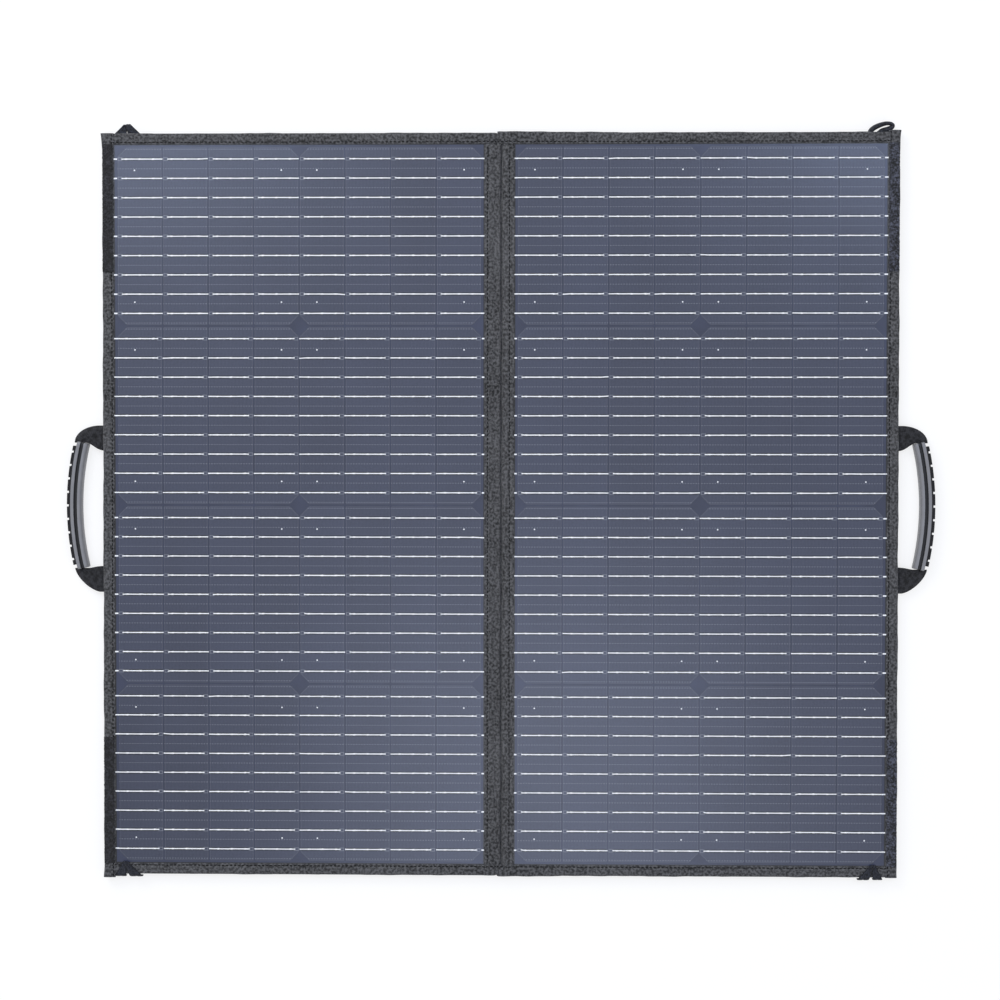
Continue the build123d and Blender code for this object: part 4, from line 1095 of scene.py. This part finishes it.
def hinge_tape(side):
    """The sewn hinge: a strip of cloth from the cover to the flap, soft across the hinge line."""
    low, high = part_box(side + "_kickstand_hinge_tape")
    hinge_y = (low.y + high.y) / 2
    s = np.linspace(0, 1, 40)
    y = low.y + (high.y - low.y) * s
    z = np.where(y > hinge_y + 2 * MM, low.z + 0.55 * MM, low.z + 0.35 * MM)
    x = np.linspace(low.x + MM, high.x - MM, 64)
    gx, gy = np.meshgrid(x, y, indexing="ij")
    under = np.broadcast_to(z, gx.shape) + ripple(gx, 4, (31 * MM, 77 * MM), 0.12 * MM)
    vertices, faces = two_layers(gx, gy, under, under + 0.5 * MM)
    piece = add_piece(side + "_hinge_cloth", vertices, faces, border_cloth, flat_map(vertices, faces), 50)
    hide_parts(side + "_kickstand_hinge_tape")
    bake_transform(piece)
    seam = np.stack([x, 0 * x + high.y - 3 * MM, 0 * x + low.z + 0.45 * MM], -1)
    row = stitches(side + "_hinge_stitches", seam, side + "_panel")


for side in SIDES:
    kickstand(side)
    hinge_tape(side)
    for kind, body, pile in (("hook", "_kickstand", hook_pile), ("loop", "_panel", loop_pile)):
        low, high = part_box(f"{side}_kickstand_{kind}_patch")
        high.z -= 0.1 * MM
        patch = pile_pad(f"{side}_{kind}_patch", low, high, pile, side + body,
                         down=kind == "loop", seed=80)
        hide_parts(f"{side}_kickstand_{kind}_patch")


# --- Pocket ------------------------------------------------------------------------------
# A shallow cloth pocket over the left back holds the charging parts. Its face stands out on
# rolled edges, and a coil zip crosses it near the top.

pocket_low, pocket_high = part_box("pocket_panel")
teeth_low, teeth_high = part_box("pocket_zip_teeth")
tape_low, tape_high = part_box("pocket_zip_tape")
ZIP_Y = (teeth_low.y + teeth_high.y) / 2
SEAM_INSET = 8.5 * MM          # from the pocket's edge to its seam


def pocket_face():
    """The pocket's face and rolled edges as one sheet, open along the zip."""
    slit = (tape_low.x + MM, tape_high.x - MM, ZIP_Y - 4.0 * MM, ZIP_Y + 4.0 * MM)
    roll = np.array([0, 0.4, 1.2, 2.4, 4, 6, 8.5, 12]) * MM
    x = np.r_[pocket_low.x + roll, np.linspace(pocket_low.x + 15 * MM, pocket_high.x - 15 * MM, 70),
              pocket_high.x - roll[::-1], slit[0], slit[1]]
    y = np.r_[pocket_low.y + roll, np.linspace(pocket_low.y + 15 * MM, pocket_high.y - 14 * MM, 50),
              pocket_high.y - roll[::-1], slit[2], slit[3]]
    gx, gy = np.meshgrid(np.unique(np.round(x, 6)), np.unique(np.round(y, 6)), indexing="ij")
    cx, cy = [(g[1:, 1:] + g[:-1, :-1]) / 2 for g in (gx, gy)]
    keep = ~((cx > slit[0]) & (cx < slit[1]) & (cy > slit[2]) & (cy < slit[3]))
    edge = np.minimum(np.minimum(gx - pocket_low.x, pocket_high.x - gx),
                      np.minimum(gy - pocket_low.y, pocket_high.y - gy))
    share = np.clip(edge / (5 * MM), 0, 1)
    drop = (1 - (1 - share) ** 2.5) * (pocket_high.z - 0.5 * MM - pocket_low.z)
    slack = 0.12 * MM * np.sin(gx / 0.017 + np.sin(gy / 0.03)) * np.clip((edge - 8 * MM) / (20 * MM), 0, 1)
    seam = 0.25 * MM * np.exp(-((edge - SEAM_INSET) / (1.0 * MM)) ** 2)
    under = pocket_high.z - 0.5 * MM - drop + slack.clip(0) + seam
    vertices, faces = two_layers(gx, gy, under, under + 0.45 * MM, keep)
    piece = add_piece("pocket_cloth", vertices, faces, border_cloth, flat_map(vertices, faces), 50)
    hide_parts("pocket_panel")
    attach(piece, "left_panel")
    x0, x1 = pocket_low.x + SEAM_INSET, pocket_high.x - SEAM_INSET
    y0, y1 = pocket_low.y + SEAM_INSET, pocket_high.y - SEAM_INSET
    level = pocket_low.z + 0.15 * MM
    corners = [(x0, y0, level), (x1, y0, level), (x1, y1, level), (x0, y1, level)]
    rows = [stitches(f"pocket_stitches_{n}", [corners[n], corners[(n + 1) % 4]], "left_panel")
            for n in range(4)]


def zip_tapes():
    """The two woven tapes beside the coil, each sewn down along its far edge."""
    for label, out in (("upper", 1.0), ("lower", -1.0)):
        x = np.linspace(tape_low.x, tape_high.x, 90)
        near = np.stack([x, 0 * x + ZIP_Y + out * 1.2 * MM, 0 * x + tape_low.z + 0.3 * MM], -1)
        far = np.stack([x, 0 * x + ZIP_Y + out * 11.6 * MM, 0 * x + tape_low.z + 0.25 * MM], -1)
        far[:, 2] += ripple(x, 7, (29 * MM, 61 * MM), 0.08 * MM)
        vertices, faces, uv = tube(ruled(near, far, 0.42 * MM, 0.0, 7))
        piece = add_piece(f"zip_tape_{label}", vertices, faces, zip_cloth, uv, 60)
        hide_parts("pocket_zip_tape")
        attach(piece, "left_panel")
        seam = [(end, ZIP_Y + out * 7 * MM, tape_low.z) for end in (tape_low.x, tape_high.x)]
        row = stitches(f"zip_{label}_stitches", seam, "left_panel")


def zip_coil():
    """Two rows of coil teeth, one small rounded bar every 1.5 mm in each, half a pitch apart."""
    pitch, half_slit = 1.5 * MM, 0.62 * MM
    length = teeth_high.x - teeth_low.x
    count = int(length / pitch)
    face = [(0, -0.25), (0.25, -0.45), (1.2, -0.45), (1.35, 0), (1.2, 0.45), (0.25, 0.45), (0, 0.25)]
    bar = np.array([(x, y, z) for x in (-0.34, 0.34) for y, z in face]) * MM
    turn = np.arange(7)
    one = np.stack([turn, (turn + 1) % 7, (turn + 1) % 7 + 7, turn + 7], -1).tolist()
    one += [turn[::-1].tolist(), (turn + 7).tolist()]
    vertices, faces = [], []
    level = (teeth_low.z + teeth_high.z) / 2
    for row, out in enumerate((1.0, -1.0)):
        for n in range(count - 1):
            at = (teeth_low.x + pitch * (n + 0.5 + 0.5 * row), ZIP_Y + out * half_slit, level)
            faces += [[len(vertices) * 14 + v for v in side] for side in one]
            vertices.append(bar * (1, out, 1) + at)
    piece = add_piece("zip_coil", vertices, faces, nylon, None, 40)
    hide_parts("pocket_zip_teeth")
    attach(piece, "left_panel")


zip_cloth = woven("polyester_zip_tape", "#0f0f10", "#39393b", 0.8 * MM, 0.3)
nylon, tree, shader = new_material("nylon_coil", Roughness=0.4)
where = add_node(tree, "TexCoord").outputs["Object"]
wear = noise(tree, where, 0.9 * MM, 3.0)
tree.links.new(mixed(tree, wear, colour("#141415"), colour("#303033")), shader.inputs["Base Color"])
pocket_face()
zip_tapes()
zip_coil()


# --- Hard parts --------------------------------------------------------------------------
# Boards, boxes, lead, screws and the zip's slider keep their CAD shapes, each with the finish
# of its own material.

def finish_material(name, dark, light, size, rough, metal=0.0, depth=0.1 * MM, streak=1.0):
    """A fine-grained solid: two close tones, a bump of the same grain, and rough to match.
    streak stretches the grain along X, as drawing or plating leaves it."""
    material, tree, shader = new_material(name, Roughness=rough, Metallic=metal)
    where = add_node(tree, "TexCoord").outputs["Object"]
    where = add_node(tree, "Mapping", {0: where, 3: (1 / streak, 1, 1)}).outputs[0]
    grain = noise(tree, where, size, 4.0)
    broad = noise(tree, where, 12 * size, 2.0)
    tint = maths(tree, "ADD", maths(tree, "MULTIPLY", grain, 0.6), maths(tree, "MULTIPLY", broad, 0.4))
    tree.links.new(mixed(tree, tint, colour(dark), colour(light)), shader.inputs["Base Color"])
    scuff = maths(tree, "ADD", rough - 0.08, maths(tree, "MULTIPLY", broad, 0.16))
    tree.links.new(scuff, shader.inputs["Roughness"])
    bump = add_node(tree, "Bump", {"Strength": 0.5, "Distance": depth, "Height": grain})
    tree.links.new(bump.outputs[0], shader.inputs["Normal"])
    return material


box_plastic = finish_material("glass_filled_polyamide", "#17181a", "#2c2d30", 0.6 * MM, 0.5)
zinc_steel = finish_material("zinc_plated_steel", "#9da0a2", "#c6c8c8", 1.5 * MM, 0.32, 1.0, 0.05 * MM)
zinc_alloy = finish_material("die_cast_zinc", "#3a3b3e", "#5b5c60", 1.2 * MM, 0.35, 0.9, 0.05 * MM)
board = finish_material("foamed_board", "#2b2b2c", "#3d3d3e", 1.8 * MM, 0.8, 0.0, 0.3 * MM)
jacket = finish_material("cable_jacket_pvc", "#101012", "#242427", 1.0 * MM, 0.55, 0.0, 0.08 * MM)
copper = finish_material("tinned_copper", "#a3a39e", "#cfcfca", 1.2 * MM, 0.3, 1.0, 0.05 * MM, 6.0)
epoxy = finish_material("moulded_epoxy", "#0e0e0f", "#202022", 0.4 * MM, 0.45)
FINISHES = {
    "junction_box_base": box_plastic, "junction_box_lid": box_plastic, "junction_box_screws": zinc_steel,
    "terminal_blocks": copper, "bypass_diode": epoxy, "lead_grommet": rubber, "kickstand_board": board,
    "stiffener_board": board, "backsheet": backsheet, "end_busbars": copper, "outlet_gland": box_plastic,
    "pocket_zip_slider": zinc_alloy, "pocket_zip_pull": zinc_alloy}
for name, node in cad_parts.items():
    finish = FINISHES.get(name, FINISHES.get(name.split("_", 1)[1]))
    if finish is not None:
        node.data.materials.clear()
        node.data.materials.append(finish)

low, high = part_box("inter_panel_lead")
x = np.linspace(low.x, high.x, 90)
turn = np.arange(12) * np.pi / 6
radius = (high.z - low.z) / 2
rings = np.stack([np.broadcast_to(x[:, None], (90, 12)),
                  (low.y + high.y) / 2 + radius * np.cos(turn)[None] + 0 * x[:, None],
                  (low.z + high.z) / 2 + radius * np.sin(turn)[None] + 0 * x[:, None]], -1)
lead = add_piece("inter_panel_cable", *tube(rings)[:2], jacket, None, 60)
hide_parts("inter_panel_lead")
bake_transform(lead)
